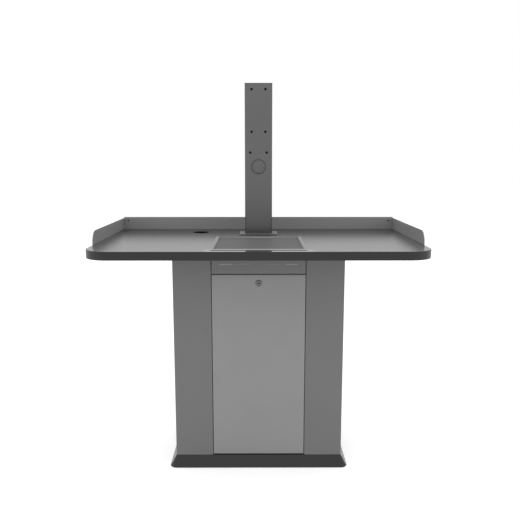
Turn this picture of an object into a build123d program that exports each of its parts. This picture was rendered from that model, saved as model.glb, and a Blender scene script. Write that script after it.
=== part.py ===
from build123d import *
import os

# Self-service kiosk stand, in millimetres. The origin is on the floor, at the centre of the
# overall box. A customer stands at -Y and looks along +Y, +X is to the right and +Z is up.

os.makedirs("parts", exist_ok=True)

# Worktop: a chipboard core under a dark laminate, with a black band round its edge
worktop_width = 1080
worktop_depth = 620
worktop_height = 830
core_thick = 26
laminate_thick = 1
band_thick = 2
band_round = 0.9
corner_radius = 80

# Upstand lips along the rear and the two sides
lip_sheet = 3
lip_rise = 48.3
side_lip_rise = 44
side_lip_length = 464
lip_nose_radius = 40
lip_tab = 34
lip_rivet_from_corner = 17
lip_rivet_rise = 34
rivet_dia = 4
rivet_head_dia = 6.5
rivet_head_thick = 1.2

# Recess for a flat scanner or scale, with a raised frame and a plate that lifts out
recess_width = 302
recess_depth = 340
recess_setback = 34
recess_rim = 10
recess_front_rim = 13
recess_proud = 1.8
recess_drop = 3.7
recess_wall = 2
recess_plate_thick = 3
recess_plate_gap = 0.5
recess_corner = 6
pocket_fit = 0.25

# Cable hole through the worktop, behind and to the left
cable_hole_dia = 60
cable_hole_x = -221
cable_hole_setback = 505
plate_hole_margin = 2

# Cabinet of folded sheet steel, set in from the worktop's rear edge
cabinet_width = 600
cabinet_depth = 335
cabinet_setback = 24
sheet = 2
fold_radius = 3
top_plate_thick = 3
door_width = 327.5
door_gap = 1.5
door_top_gap = 2.5
door_foot_gap = 3.5
column_return = 45
column_rear_flange = 26
fascia_height = 87
corner_bracket_leg = 30
corner_bracket_length = 40
corner_bracket_inset = 40

# Pressed beads across the fascia: distance from the middle to each end
bead_spans = [(24, 82), (91, 137)]
bead_height = 4.6
bead_proud = 1.6
bead_below_top = 53

# Plinth: a black skirt that flares to the floor
plinth_height = 41
skirt_gap = 1
skirt_flare = 22
skirt_corner = 24
skirt_flange = 40
base_plate_thick = 3
base_plate_inset = 4
anchor_hole_dia = 14
anchor_spacing_x = 360
anchor_spacing_y = 180
base_cable_dia = 60

# Levelling feet
foot_inset = 55
foot_pad_dia = 42
foot_pad_height = 9
foot_boss_dia = 12
foot_boss_depth = 5
foot_hex = 14
foot_hex_height = 6
foot_thread = 10
foot_stem_top = 58
foot_nut_hex = 17
foot_nut_height = 8
foot_hole_margin = 1

# Rear panel, its vents, screws and cable outlet
vent_length = 90
vent_height = 4
vent_pitch = 12
vent_rows = 10
vent_from_centre = 150
vent_from_top = 190
outlet_dia = 50
outlet_height = 95
outlet_bore = 40
outlet_lip = 4
outlet_lip_thick = 2
panel_screw_rows = 4
panel_screw_margin = 60
screw_dia = 4
screw_head_dia = 8
screw_head_thick = 2.4
panel_screw_length = 12
fit = 0.05

# Shelf
shelf_height = 400
shelf_sheet = 1.5
shelf_setback = 70
shelf_hem = 20
shelf_side_gap = 0.5
shelf_rail_leg = 25
shelf_rail_length = 180
shelf_rear_gap = 3

# Door: an outer pan and an inner liner
liner_sheet = 1.5
door_depth = 24
door_edge_round = 1.5
liner_flange = 8
pivot_setback = 9
pivot_rise = 15.5
pin_dia = 7
pin_head_dia = 12
pin_head_thick = 2
pin_reach = 12
bush_wall = 1.5
bush_flange_dia = 14
bush_flange_thick = 0.8
stop_drop = 69
stop_height = 30
stop_width = 26
buffer_dia = 12
buffer_gap = 0.3
stop_gap = 2

# Cam lock
lock_drop = 30.5
lock_head_dia = 24
lock_head_proud = 2.2
lock_barrel_dia = 19
lock_barrel_length = 25.5
lock_plug_dia = 13
keyway_width = 10
keyway_height = 2.6
keyway_depth = 5
lock_nut_hex = 24
lock_nut_thick = 3.5
liner_lock_hole = 32
cam_gap = 0.5
cam_thick = 2.5
cam_width = 18
cam_reach = 42
tail_square = 8
tail_spare = 0.2
cam_screw_dia = 4
cam_screw_head_dia = 10
cam_screw_head_thick = 2.5
cam_screw_depth = 8
strike_play = 1

# Mast: a rectangular tube welded to a flange, with studs through the worktop
mast_width = 100
mast_depth = 50
mast_wall = 3
mast_corner = 4
mast_rise = 547
mast_setback = 440
mast_cap_thick = 3
mast_cap_insert = 12
mast_cap_wall = 3
mast_cap_fit = 0.2
flange_width = 140
flange_depth = 100
flange_thick = 4
flange_corner = 3
stud_dia = 8
stud_spacing_x = 110
stud_spacing_y = 60
stud_clearance = 0.5
stud_spare = 4
backing_thick = 6
washer_dia = 16
washer_thick = 1.6
stud_nut_hex = 13
stud_nut_height = 6.5
mast_slot_width = 60
mast_slot_depth = 24

# Interface holes in the mast's front face, each lined with a threaded insert
screen_holes_drop = 22
screen_hole_spacing_x = 50
screen_hole_spacing_z = 150
lower_holes_drop = 246.5
lower_hole_spacing = 60
insert_dia = 9
insert_bore = 6
insert_length = 14

# Blanked cable grommet in the mast
grommet_drop = 297.4
grommet_flange_dia = 55.5
grommet_proud = 1.2
grommet_body_dia = 51
grommet_depth = 9
grommet_bore = 48.4
grommet_ledge_bore = 43.5
grommet_ledge_setback = 1.8
grommet_lid_gap = 0.3
grommet_lid_thick = 2.4
grommet_notch_width = 8
grommet_notch_depth = 1.6

# Screws
worktop_screw_dia = 4.5
worktop_screw_length = 20
worktop_screw_head_dia = 9
worktop_screw_x = 240
worktop_screw_margin = 36
lip_screw_dia = 4
lip_screw_head_dia = 7.6
lip_screw_length = 28
lip_screw_drop = 13.5
rear_lip_screws = 5
rear_lip_screw_pitch = 220
side_lip_screws = 3
side_lip_screw_pitch = 180
fascia_screws_count = 3
fascia_screw_pitch = 120

# Brackets that carry the front overhang of the worktop
overhang_x = 235
overhang_reach = 120
overhang_plate = 4
overhang_root = 40
overhang_tip = 14
overhang_width = 32
overhang_bolt_dia = 6
overhang_bolt_head_dia = 11
overhang_bolt_head_thick = 3.5
overhang_bolt_length = 12
overhang_bolt_offset = 9.5
overhang_screw_shares = (0.25, 0.75)

# Places worked out from the sizes above
worktop_front = -(worktop_depth + 2 * lip_sheet) / 2
worktop_rear = worktop_front + worktop_depth
worktop_middle = (worktop_front + worktop_rear) / 2
worktop_under = worktop_height - laminate_thick - core_thick
core_top = worktop_height - laminate_thick
worktop_side = worktop_width / 2
lip_top = worktop_height + lip_rise
side_lip_top = worktop_height + side_lip_rise
lip_screw_z = worktop_height - lip_screw_drop
side_lip_front = worktop_rear - side_lip_length

cabinet_rear = worktop_rear - cabinet_setback
cabinet_front = cabinet_rear - cabinet_depth
cabinet_middle = (cabinet_front + cabinet_rear) / 2
cabinet_side = cabinet_width / 2
cabinet_top = worktop_under - top_plate_thick
opening_side = door_width / 2 + door_gap
panel_inner = cabinet_rear - sheet
fascia_bottom = cabinet_top - fascia_height
door_bottom = plinth_height + door_foot_gap
door_top = fascia_bottom - door_top_gap
door_height = door_top - door_bottom
door_side = door_width / 2
door_back = cabinet_front + door_depth
pivot_y = cabinet_front + pivot_setback
pivot_z = door_bottom + pivot_rise
lock_z = door_top - lock_drop
barrel_end = cabinet_front + lock_barrel_length
cam_front = barrel_end + cam_gap
tail_end = cam_front + cam_thick + tail_spare
base_plate_top = plinth_height - sheet
base_plate_under = base_plate_top - base_plate_thick

mast_front = worktop_front + mast_setback
mast_middle = mast_front + mast_depth / 2
mast_top = worktop_height + mast_rise
tube_bottom = worktop_height + flange_thick
tube_top = mast_top - mast_cap_thick
backing_under = cabinet_top - backing_thick
nut_top = backing_under - washer_thick
stud_bottom = nut_top - stud_nut_height - stud_spare
screen_holes_z = mast_top - screen_holes_drop - screen_hole_spacing_z / 2
lower_holes_z = mast_top - lower_holes_drop
grommet_z = mast_top - grommet_drop

recess_front = worktop_front + recess_setback
recess_middle = recess_front + recess_depth / 2
recess_top = worktop_height + recess_proud
plate_top = worktop_height - recess_drop
pocket_floor = plate_top - recess_plate_thick
recess_open_width = recess_width - 2 * recess_rim
recess_open_depth = recess_depth - recess_rim - recess_front_rim
recess_open_middle = recess_front + recess_front_rim + recess_open_depth / 2
pocket_width = recess_open_width + 2 * (recess_wall + pocket_fit)
pocket_depth = recess_open_depth + 2 * (recess_wall + pocket_fit)
cable_hole_y = worktop_front + cable_hole_setback

stud_places = [
    (x * stud_spacing_x / 2, mast_middle + y * stud_spacing_y / 2) for x in (-1, 1) for y in (-1, 1)
]
worktop_screw_places = [
    (x * worktop_screw_x, y)
    for x in (-1, 1)
    for y in (cabinet_front + worktop_screw_margin, cabinet_middle, cabinet_rear - worktop_screw_margin)
]
rear_lip_screw_x = [
    (i - (rear_lip_screws - 1) / 2) * rear_lip_screw_pitch for i in range(rear_lip_screws)
]
side_lip_middle = (side_lip_front + worktop_rear) / 2
side_lip_screw_y = [
    side_lip_middle + (i - (side_lip_screws - 1) / 2) * side_lip_screw_pitch
    for i in range(side_lip_screws)
]
fascia_screw_x = [
    (i - (fascia_screws_count - 1) / 2) * fascia_screw_pitch for i in range(fascia_screws_count)
]
fascia_return = lock_barrel_length + cam_gap - strike_play
fascia_screw_y = cabinet_front + fascia_return / 2 + sheet
overhang_tip_y = cabinet_front - overhang_reach
overhang_bolt_z = worktop_under - overhang_root / 2
overhang_bolt_x = [
    side * overhang_x + across * overhang_bolt_offset for side in (-1, 1) for across in (-1, 1)
]
overhang_screw_places = [
    (x, overhang_tip_y + overhang_reach * share) for x in overhang_bolt_x for share in overhang_screw_shares
]
panel_screw_z = [
    plinth_height + panel_screw_margin
    + i * (cabinet_top - plinth_height - 2 * panel_screw_margin) / (panel_screw_rows - 1)
    for i in range(panel_screw_rows)
]
panel_screw_x = cabinet_side - column_rear_flange / 2
insert_places = [
    (x * screen_hole_spacing_x / 2, screen_holes_z + z * screen_hole_spacing_z / 2)
    for x in (-1, 1)
    for z in (-1, 1)
] + [(x * lower_hole_spacing / 2, lower_holes_z) for x in (-1, 1)]
foot_places = {
    "front_left": (-(cabinet_side - foot_inset), cabinet_front + foot_inset),
    "front_right": (cabinet_side - foot_inset, cabinet_front + foot_inset),
    "rear_left": (-(cabinet_side - foot_inset), cabinet_rear - foot_inset),
    "rear_right": (cabinet_side - foot_inset, cabinet_rear - foot_inset),
}


def save(piece, name):
    """Label one finished piece and write it to its own file."""
    piece.part.label = name
    export_step(piece.part, f"parts/{name}.step")


def board_outline(height, inset):
    """Outline of the worktop, with round corners at the front and square ones at the rear."""
    with BuildSketch(Plane.XY.offset(height)) as outline:
        with Locations((0, worktop_middle)):
            Rectangle(worktop_width - 2 * inset, worktop_depth - 2 * inset)
        fillet(outline.vertices().group_by(Axis.Y)[0], corner_radius - inset)
    return outline.sketch


def cable_openings(height, margin):
    """Round cable hole and the slot under the mast, as one sketch."""
    with BuildSketch(Plane.XY.offset(height)) as openings:
        with Locations((cable_hole_x, cable_hole_y)):
            Circle(cable_hole_dia / 2 + margin)
        with Locations((0, mast_middle)):
            SlotOverall(mast_slot_width + margin, mast_slot_depth + margin)
    return openings.sketch


def facing_front(x, y, z):
    """Plane at a point, looking towards the customer."""
    return Plane(origin=(x, y, z), x_dir=(1, 0, 0), z_dir=(0, -1, 0))


def facing_side(x, y, z, side):
    """Plane at a point, looking out to the left (-1) or the right (1)."""
    return Plane(origin=(x, y, z), x_dir=(0, side, 0), z_dir=(side, 0, 0))


def facing_rear(x, y, z):
    """Plane at a point, looking away from the customer."""
    return Plane(origin=(x, y, z), x_dir=(-1, 0, 0), z_dir=(0, 1, 0))


# Faces of the lips where their screws and corner rivets go in
side_lip_screw_planes = {
    side: [facing_side(side * (worktop_side + lip_sheet), y, lip_screw_z, side) for y in side_lip_screw_y]
    for side in (-1, 1)
}
rear_lip_screw_planes = [facing_rear(x, worktop_rear + lip_sheet, lip_screw_z) for x in rear_lip_screw_x]
lip_screw_planes = [*rear_lip_screw_planes, *side_lip_screw_planes[-1], *side_lip_screw_planes[1]]
lip_rivet_x = worktop_side - lip_rivet_from_corner
lip_rivet_z = worktop_height + lip_rivet_rise
lip_rivet_planes = [facing_front(side * lip_rivet_x, worktop_rear, lip_rivet_z) for side in (-1, 1)]

# Plinth skirt: a flared wall with a flange turned in at the top
with BuildPart() as plinth_skirt:
    for inset, mode in ((0, Mode.ADD), (sheet, Mode.SUBTRACT)):
        with BuildSketch(Plane.XY.offset(skirt_gap)):
            with Locations((0, cabinet_middle)):
                RectangleRounded(
                    cabinet_width + 2 * (skirt_flare - inset),
                    cabinet_depth + 2 * (skirt_flare - inset),
                    skirt_corner - inset,
                )
        with BuildSketch(Plane.XY.offset(plinth_height)):
            with Locations((0, cabinet_middle)):
                RectangleRounded(cabinet_width - 2 * inset, cabinet_depth - 2 * inset, fold_radius)
        loft(mode=mode)
    with BuildSketch(Plane.XY.offset(base_plate_top)):
        with Locations((0, cabinet_middle)):
            RectangleRounded(cabinet_width, cabinet_depth, fold_radius)
            Rectangle(
                cabinet_width - 2 * skirt_flange, cabinet_depth - 2 * skirt_flange, mode=Mode.SUBTRACT
            )
    extrude(amount=sheet)
save(plinth_skirt, "plinth_skirt")

# Base plate under the flange, with anchor holes and a cable entry
with BuildPart() as base_plate:
    with BuildSketch(Plane.XY.offset(base_plate_under)):
        with Locations((0, cabinet_middle)):
            Rectangle(cabinet_width - 2 * base_plate_inset, cabinet_depth - 2 * base_plate_inset)
            Circle(base_cable_dia / 2, mode=Mode.SUBTRACT)
            with GridLocations(anchor_spacing_x, anchor_spacing_y, 2, 2):
                Circle(anchor_hole_dia / 2, mode=Mode.SUBTRACT)
        with Locations(*foot_places.values()):
            Circle(foot_thread / 2 + foot_hole_margin, mode=Mode.SUBTRACT)
    extrude(amount=base_plate_thick)
save(base_plate, "base_plate")

# Nuts welded under the base plate for the levelling feet
with BuildPart() as foot_nuts:
    with BuildSketch(Plane.XY.offset(base_plate_under)):
        with Locations(*foot_places.values()):
            RegularPolygon(foot_nut_hex / 2, 6, major_radius=False)
            Circle(foot_thread / 2 + fit, mode=Mode.SUBTRACT)
    extrude(amount=-foot_nut_height)
save(foot_nuts, "foot_nuts")

for corner, (foot_x, foot_y) in foot_places.items():
    with BuildPart() as foot_pad:
        with BuildSketch():
            with Locations((foot_x, foot_y)):
                Circle(foot_pad_dia / 2)
        extrude(amount=foot_pad_height)
        chamfer(foot_pad.faces().sort_by(Axis.Z)[-1].edges(), foot_pad_height / 3)
        with Locations((foot_x, foot_y, foot_pad_height)):
            Hole(foot_boss_dia / 2, foot_boss_depth)
    save(foot_pad, f"foot_pad_{corner}")

    with BuildPart() as foot_stem:
        with BuildSketch(Plane.XY.offset(foot_pad_height - foot_boss_depth)):
            with Locations((foot_x, foot_y)):
                Circle(foot_boss_dia / 2 - fit)
        extrude(amount=foot_boss_depth)
        with BuildSketch(Plane.XY.offset(foot_pad_height)):
            with Locations((foot_x, foot_y)):
                RegularPolygon(foot_hex / 2, 6, major_radius=False)
        extrude(amount=foot_hex_height)
        with BuildSketch(Plane.XY.offset(foot_pad_height + foot_hex_height)):
            with Locations((foot_x, foot_y)):
                Circle(foot_thread / 2)
        extrude(amount=foot_stem_top - foot_pad_height - foot_hex_height)
        chamfer(foot_stem.faces().sort_by(Axis.Z)[-1].edges(), foot_thread / 10)
    save(foot_stem, f"foot_stem_{corner}")

# Columns: front, side and rear flange folded from one sheet, with a return at the opening
for name, side in (("left_column", -1), ("right_column", 1)):
    return_x = side * (opening_side + sheet / 2)
    wall_x = side * (cabinet_side - sheet / 2)
    with BuildPart() as column:
        with BuildSketch(Plane.XY.offset(plinth_height)):
            with BuildLine():
                FilletPolyline(
                    (return_x, cabinet_front + column_return),
                    (return_x, cabinet_front + sheet / 2),
                    (wall_x, cabinet_front + sheet / 2),
                    (wall_x, panel_inner - sheet / 2),
                    (side * (cabinet_side - column_rear_flange), panel_inner - sheet / 2),
                    radius=fold_radius - sheet / 2,
                )
            trace(line_width=sheet)
        extrude(amount=cabinet_top - plinth_height)
        with Locations(facing_side(side * opening_side, pivot_y, pivot_z, -side)):
            Hole(pin_dia / 2 + bush_wall + 2 * fit, sheet * 2)
        with Locations(
            *[facing_front(side * panel_screw_x, panel_inner - sheet, z) for z in panel_screw_z]
        ):
            Hole(screw_dia / 2 + fit, sheet * 2)
        with Locations(
            *[facing_front(x, cabinet_front, overhang_bolt_z) for x in overhang_bolt_x if x * side > 0]
        ):
            Hole(overhang_bolt_dia / 2 + fit, sheet * 2)
    save(column, name)

# Angle brackets welded in the four bottom and the four top corners
for name, low, bend in (
    ("base_brackets", plinth_height, 0),
    ("top_brackets", cabinet_top - corner_bracket_leg, corner_bracket_leg - sheet),
):
    with BuildPart() as brackets:
        for side in (-1, 1):
            for start in (
                cabinet_front + corner_bracket_inset,
                cabinet_rear - corner_bracket_inset - corner_bracket_length,
            ):
                with BuildSketch(Plane.XZ.offset(-start)):
                    with Locations((side * (cabinet_side - 1.5 * sheet), low + corner_bracket_leg / 2)):
                        Rectangle(sheet, corner_bracket_leg)
                    with Locations(
                        (side * (cabinet_side - sheet - corner_bracket_leg / 2), low + bend + sheet / 2)
                    ):
                        Rectangle(corner_bracket_leg, sheet)
                extrude(amount=-corner_bracket_length)
    save(brackets, name)

# Rear panel with two banks of vents and a cable outlet
with BuildPart() as rear_panel:
    with BuildSketch(Plane.XZ.offset(-panel_inner)):
        with Locations((0, (plinth_height + cabinet_top) / 2)):
            Rectangle(cabinet_width, cabinet_top - plinth_height)
        with Locations(*[(side * vent_from_centre, cabinet_top - vent_from_top) for side in (-1, 1)]):
            with GridLocations(0, vent_pitch, 1, vent_rows):
                SlotOverall(vent_length, vent_height, mode=Mode.SUBTRACT)
        with Locations((0, outlet_height)):
            Circle(outlet_dia / 2 + fit, mode=Mode.SUBTRACT)
        with Locations(*[(side * panel_screw_x, z) for side in (-1, 1) for z in panel_screw_z]):
            Circle(screw_dia / 2 + fit, mode=Mode.SUBTRACT)
    extrude(amount=-sheet)
save(rear_panel, "rear_panel")

with BuildPart() as outlet_grommet:
    for start, length, radius in (
        (panel_inner - outlet_lip_thick, outlet_lip_thick, outlet_dia / 2 + outlet_lip),
        (panel_inner, sheet, outlet_dia / 2),
        (cabinet_rear, outlet_lip_thick, outlet_dia / 2 + outlet_lip),
    ):
        with BuildSketch(Plane.XZ.offset(-start)):
            with Locations((0, outlet_height)):
                Circle(radius)
                Circle(outlet_bore / 2, mode=Mode.SUBTRACT)
        extrude(amount=-length)
save(outlet_grommet, "outlet_grommet")

with BuildPart() as panel_screws:
    panel_screw_points = [(side * panel_screw_x, z) for side in (-1, 1) for z in panel_screw_z]
    with BuildSketch(Plane.XZ.offset(-cabinet_rear)):
        with Locations(*panel_screw_points):
            Circle(screw_head_dia / 2)
    extrude(amount=-screw_head_thick)
    fillet(panel_screws.faces().group_by(Axis.Y)[-1].edges(), screw_head_thick / 2)
    with BuildSketch(Plane.XZ.offset(-cabinet_rear)):
        with Locations(*panel_screw_points):
            Circle(screw_dia / 2)
    extrude(amount=panel_screw_length)
save(panel_screws, "panel_screws")

# Shelf on two angle rails
for name, side in (("left_shelf_rail", -1), ("right_shelf_rail", 1)):
    with BuildPart() as shelf_rail:
        with BuildSketch(Plane.XZ.offset(-(cabinet_middle - shelf_rail_length / 2))):
            with Locations(
                (side * (cabinet_side - 1.5 * sheet), shelf_height - shelf_rail_leg / 2)
            ):
                Rectangle(sheet, shelf_rail_leg)
            with Locations(
                (side * (cabinet_side - sheet - shelf_rail_leg / 2), shelf_height - sheet / 2)
            ):
                Rectangle(shelf_rail_leg, sheet)
        extrude(amount=-shelf_rail_length)
    save(shelf_rail, name)

shelf_front = cabinet_front + shelf_setback
shelf_rear = panel_inner - sheet - shelf_rear_gap
hem_width = 2 * (cabinet_side - sheet - shelf_rail_leg - shelf_rear_gap)
with BuildPart() as equipment_shelf:
    with BuildSketch(Plane.XY.offset(shelf_height)):
        with Locations((0, (shelf_front + shelf_rear) / 2)):
            Rectangle(2 * (cabinet_side - sheet - shelf_side_gap), shelf_rear - shelf_front)
    extrude(amount=shelf_sheet)
    with BuildSketch(Plane.XY.offset(shelf_height)):
        with Locations((0, shelf_front + shelf_sheet / 2), (0, shelf_rear - shelf_sheet / 2)):
            Rectangle(hem_width, shelf_sheet)
    extrude(amount=-shelf_hem)
save(equipment_shelf, "equipment_shelf")

# Top plate between the cabinet and the worktop
with BuildPart() as top_plate:
    with BuildSketch(Plane.XY.offset(cabinet_top)):
        with Locations((0, cabinet_middle)):
            Rectangle(cabinet_width, cabinet_depth)
        with Locations(*stud_places):
            Circle(stud_dia / 2 + stud_clearance, mode=Mode.SUBTRACT)
        with Locations(*worktop_screw_places):
            Circle(worktop_screw_dia / 2 + fit, mode=Mode.SUBTRACT)
        with Locations(*[(x, fascia_screw_y) for x in fascia_screw_x]):
            Circle(screw_dia / 2 + fit, mode=Mode.SUBTRACT)
    extrude(amount=top_plate_thick)
    extrude(cable_openings(cabinet_top, plate_hole_margin), amount=top_plate_thick, mode=Mode.SUBTRACT)
save(top_plate, "top_plate")

# Fascia above the door: a pan that hangs from the top plate, with pressed beads
with BuildPart() as fascia:
    with BuildSketch(Plane.XY.offset(fascia_bottom)):
        with Locations((0, cabinet_front + fascia_return / 2)):
            Rectangle(door_width, fascia_return)
    extrude(amount=fascia_height)
    fillet(fascia.edges().filter_by(Axis.Z).group_by(Axis.Y)[0], door_edge_round)
    with BuildSketch(Plane.XZ.offset(-(cabinet_front + sheet))):
        with Locations((0, fascia_bottom + fascia_height / 2)):
            Rectangle(door_width - 2 * sheet, fascia_height - 2 * sheet)
    extrude(amount=-fascia_return, mode=Mode.SUBTRACT)
    with BuildSketch(Plane.XZ.offset(-cabinet_front)):
        for near, far in bead_spans:
            for side in (-1, 1):
                with Locations((side * (near + far) / 2, cabinet_top - bead_below_top)):
                    SlotOverall(far - near, bead_height)
    extrude(amount=bead_proud, taper=45)
    with BuildSketch(Plane.XY.offset(cabinet_top)):
        with Locations(*[(x, fascia_screw_y) for x in fascia_screw_x]):
            Circle(screw_dia / 2 + fit)
    extrude(amount=-sheet, mode=Mode.SUBTRACT)
save(fascia, "fascia")

with BuildPart() as fascia_screws:
    fascia_screw_points = [(x, fascia_screw_y) for x in fascia_screw_x]
    with BuildSketch(Plane.XY.offset(cabinet_top - sheet)):
        with Locations(*fascia_screw_points):
            Circle(screw_head_dia / 2)
    extrude(amount=-screw_head_thick)
    with BuildSketch(Plane.XY.offset(cabinet_top - sheet)):
        with Locations(*fascia_screw_points):
            Circle(screw_dia / 2)
    extrude(amount=sheet + top_plate_thick)
save(fascia_screws, "fascia_screws")

# Overhang brackets: a web with one flange on the column and one under the worktop
for name, side in (("left_overhang_bracket", -1), ("right_overhang_bracket", 1)):
    with BuildPart() as overhang_bracket:
        with BuildSketch(Plane.YZ.offset(side * overhang_x - overhang_plate / 2)):
            with BuildLine():
                Polyline(
                    (cabinet_front, worktop_under),
                    (overhang_tip_y, worktop_under),
                    (overhang_tip_y, worktop_under - overhang_tip),
                    (cabinet_front, worktop_under - overhang_root),
                    close=True,
                )
            make_face()
        extrude(amount=overhang_plate)
        with BuildSketch(Plane.XY.offset(worktop_under - overhang_plate)):
            with Locations((side * overhang_x, cabinet_front - overhang_reach / 2)):
                Rectangle(overhang_width, overhang_reach)
        extrude(amount=overhang_plate)
        with BuildSketch(Plane.XZ.offset(-cabinet_front)):
            with Locations((side * overhang_x, worktop_under - overhang_root / 2)):
                Rectangle(overhang_width, overhang_root)
        extrude(amount=overhang_plate)
        with Locations(
            *[
                facing_front(x, cabinet_front - overhang_plate, overhang_bolt_z)
                for x in overhang_bolt_x
                if x * side > 0
            ]
        ):
            Hole(overhang_bolt_dia / 2 + fit, overhang_plate * 2)
        with Locations(
            *[(x, y, worktop_under) for x, y in overhang_screw_places if x * side > 0]
        ):
            Hole(worktop_screw_dia / 2 + fit, overhang_plate)
    save(overhang_bracket, name)

# Bolts and screws of the overhang brackets
with BuildPart() as overhang_screws:
    overhang_bolt_points = [(x, overhang_bolt_z) for x in overhang_bolt_x]
    with BuildSketch(Plane.XZ.offset(overhang_plate - cabinet_front)):
        with Locations(*overhang_bolt_points):
            Circle(overhang_bolt_head_dia / 2)
    extrude(amount=overhang_bolt_head_thick)
    with BuildSketch(Plane.XZ.offset(overhang_plate - cabinet_front)):
        with Locations(*overhang_bolt_points):
            Circle(overhang_bolt_dia / 2)
    extrude(amount=-overhang_bolt_length)
    with BuildSketch(Plane.XY.offset(worktop_under - overhang_plate)):
        with Locations(*overhang_screw_places):
            Circle(worktop_screw_head_dia / 2)
    extrude(amount=-screw_head_thick)
    with BuildSketch(Plane.XY.offset(worktop_under - overhang_plate)):
        with Locations(*overhang_screw_places):
            Circle(worktop_screw_dia / 2)
    extrude(amount=worktop_screw_length)
save(overhang_screws, "overhang_screws")

# Worktop core, with the pocket of the recess and holes for cables, studs and screws
with BuildPart() as worktop_core:
    extrude(board_outline(worktop_under, band_thick), amount=core_thick)
    with BuildSketch(Plane.XY.offset(pocket_floor)):
        with Locations((0, recess_open_middle)):
            Rectangle(pocket_width, pocket_depth)
    extrude(amount=core_thick, mode=Mode.SUBTRACT)
    extrude(cable_openings(worktop_under, 0), amount=core_thick, mode=Mode.SUBTRACT)
    with Locations(*[(x, y, core_top) for x, y in stud_places]):
        Hole(stud_dia / 2 + stud_clearance)
    with BuildSketch(Plane.XY.offset(worktop_under)):
        with Locations(*worktop_screw_places, *overhang_screw_places):
            Circle(worktop_screw_dia / 2 + fit)
    extrude(amount=worktop_screw_length, mode=Mode.SUBTRACT)
    with Locations(*lip_screw_planes):
        Hole(lip_screw_dia / 2 + fit, lip_screw_length)
save(worktop_core, "worktop_core")

with BuildPart() as worktop_laminate:
    extrude(board_outline(core_top, band_thick), amount=laminate_thick)
    with BuildSketch(Plane.XY.offset(core_top)):
        with Locations((0, recess_open_middle)):
            Rectangle(pocket_width, pocket_depth)
        with Locations(*stud_places):
            Circle(stud_dia / 2 + stud_clearance)
    extrude(amount=laminate_thick, mode=Mode.SUBTRACT)
    extrude(cable_openings(core_top, 0), amount=laminate_thick, mode=Mode.SUBTRACT)
save(worktop_laminate, "worktop_laminate")

with BuildPart() as worktop_edge_band:
    extrude(board_outline(worktop_under, 0), amount=core_thick + laminate_thick)
    outer_top = worktop_edge_band.faces().sort_by(Axis.Z)[-1].edges()
    outer_bottom = worktop_edge_band.faces().sort_by(Axis.Z)[0].edges()
    fillet(outer_top + outer_bottom, band_round)
    extrude(
        board_outline(worktop_under, band_thick), amount=core_thick + laminate_thick, mode=Mode.SUBTRACT
    )
    with Locations(*lip_screw_planes):
        Hole(lip_screw_dia / 2 + fit, lip_screw_length)
save(worktop_edge_band, "worktop_edge_band")

with BuildPart() as worktop_screws:
    for radius, length in (
        (worktop_screw_head_dia / 2, -screw_head_thick),
        (worktop_screw_dia / 2, worktop_screw_length),
    ):
        with BuildSketch(Plane.XY.offset(cabinet_top)):
            with Locations(*worktop_screw_places):
                Circle(radius)
        extrude(amount=length)
save(worktop_screws, "worktop_screws")

# Lips: one along the rear, and one on each side whose tab turns in behind it
lip_screw_sink = lip_screw_head_dia / 2 - lip_screw_dia / 2
with BuildPart() as back_lip:
    with BuildSketch(Plane.XZ.offset(-worktop_rear)):
        with Locations((0, (worktop_under + lip_top) / 2)):
            Rectangle(worktop_width, lip_top - worktop_under)
    extrude(amount=-lip_sheet)
    with Locations(*lip_rivet_planes):
        Hole(rivet_dia / 2 + fit, lip_sheet)
    with Locations(*rear_lip_screw_planes):
        CounterSinkHole(lip_screw_dia / 2 + fit, lip_screw_head_dia / 2 + fit, lip_sheet, 90)
save(back_lip, "back_lip")

for name, side in (("left_lip", -1), ("right_lip", 1)):
    with BuildPart() as side_lip:
        with BuildSketch(Plane.YZ.offset(side * (worktop_side + lip_sheet / 2))):
            with BuildLine():
                Polyline(
                    (worktop_rear + 2 * lip_sheet, worktop_under),
                    (worktop_rear + 2 * lip_sheet, side_lip_top),
                    (side_lip_front, side_lip_top),
                    (side_lip_front, worktop_under),
                    close=True,
                )
            make_face()
        extrude(amount=lip_sheet / 2, both=True)
        nose = side_lip.edges().filter_by(Axis.X).group_by(Axis.Z)[-1].sort_by(Axis.Y)[0]
        fillet(nose, lip_nose_radius)
        with BuildSketch(Plane.XZ.offset(-(worktop_rear + lip_sheet))):
            with Locations((side * (worktop_side - lip_tab / 2), (worktop_under + side_lip_top) / 2)):
                Rectangle(lip_tab, side_lip_top - worktop_under)
        extrude(amount=-lip_sheet)
        with Locations(facing_front(side * lip_rivet_x, worktop_rear + lip_sheet, lip_rivet_z)):
            Hole(rivet_dia / 2 + fit, lip_sheet)
        with Locations(*side_lip_screw_planes[side]):
            CounterSinkHole(lip_screw_dia / 2 + fit, lip_screw_head_dia / 2 + fit, lip_sheet, 90)
    save(side_lip, name)

# Rivets that join the lips at the two rear corners
with BuildPart() as lip_rivets:
    lip_rivet_points = [(side * lip_rivet_x, lip_rivet_z) for side in (-1, 1)]
    with BuildSketch(Plane.XZ.offset(-worktop_rear)):
        with Locations(*lip_rivet_points):
            Circle(rivet_head_dia / 2)
    extrude(amount=rivet_head_thick, taper=30)
    with BuildSketch(Plane.XZ.offset(-worktop_rear)):
        with Locations(*lip_rivet_points):
            Circle(rivet_dia / 2)
    extrude(amount=-2 * lip_sheet)
save(lip_rivets, "lip_rivets")

# Countersunk screws that hold the lips to the edges of the worktop
with BuildPart() as lip_screws:
    with Locations(*[plane.offset(-lip_screw_sink / 2) for plane in lip_screw_planes]):
        Cone(lip_screw_dia / 2, lip_screw_head_dia / 2, lip_screw_sink)
    with Locations(*[plane.offset(-(lip_screw_sink + lip_screw_length) / 2) for plane in lip_screw_planes]):
        Cylinder(lip_screw_dia / 2, lip_screw_length - lip_screw_sink)
save(lip_screws, "lip_screws")

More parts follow.
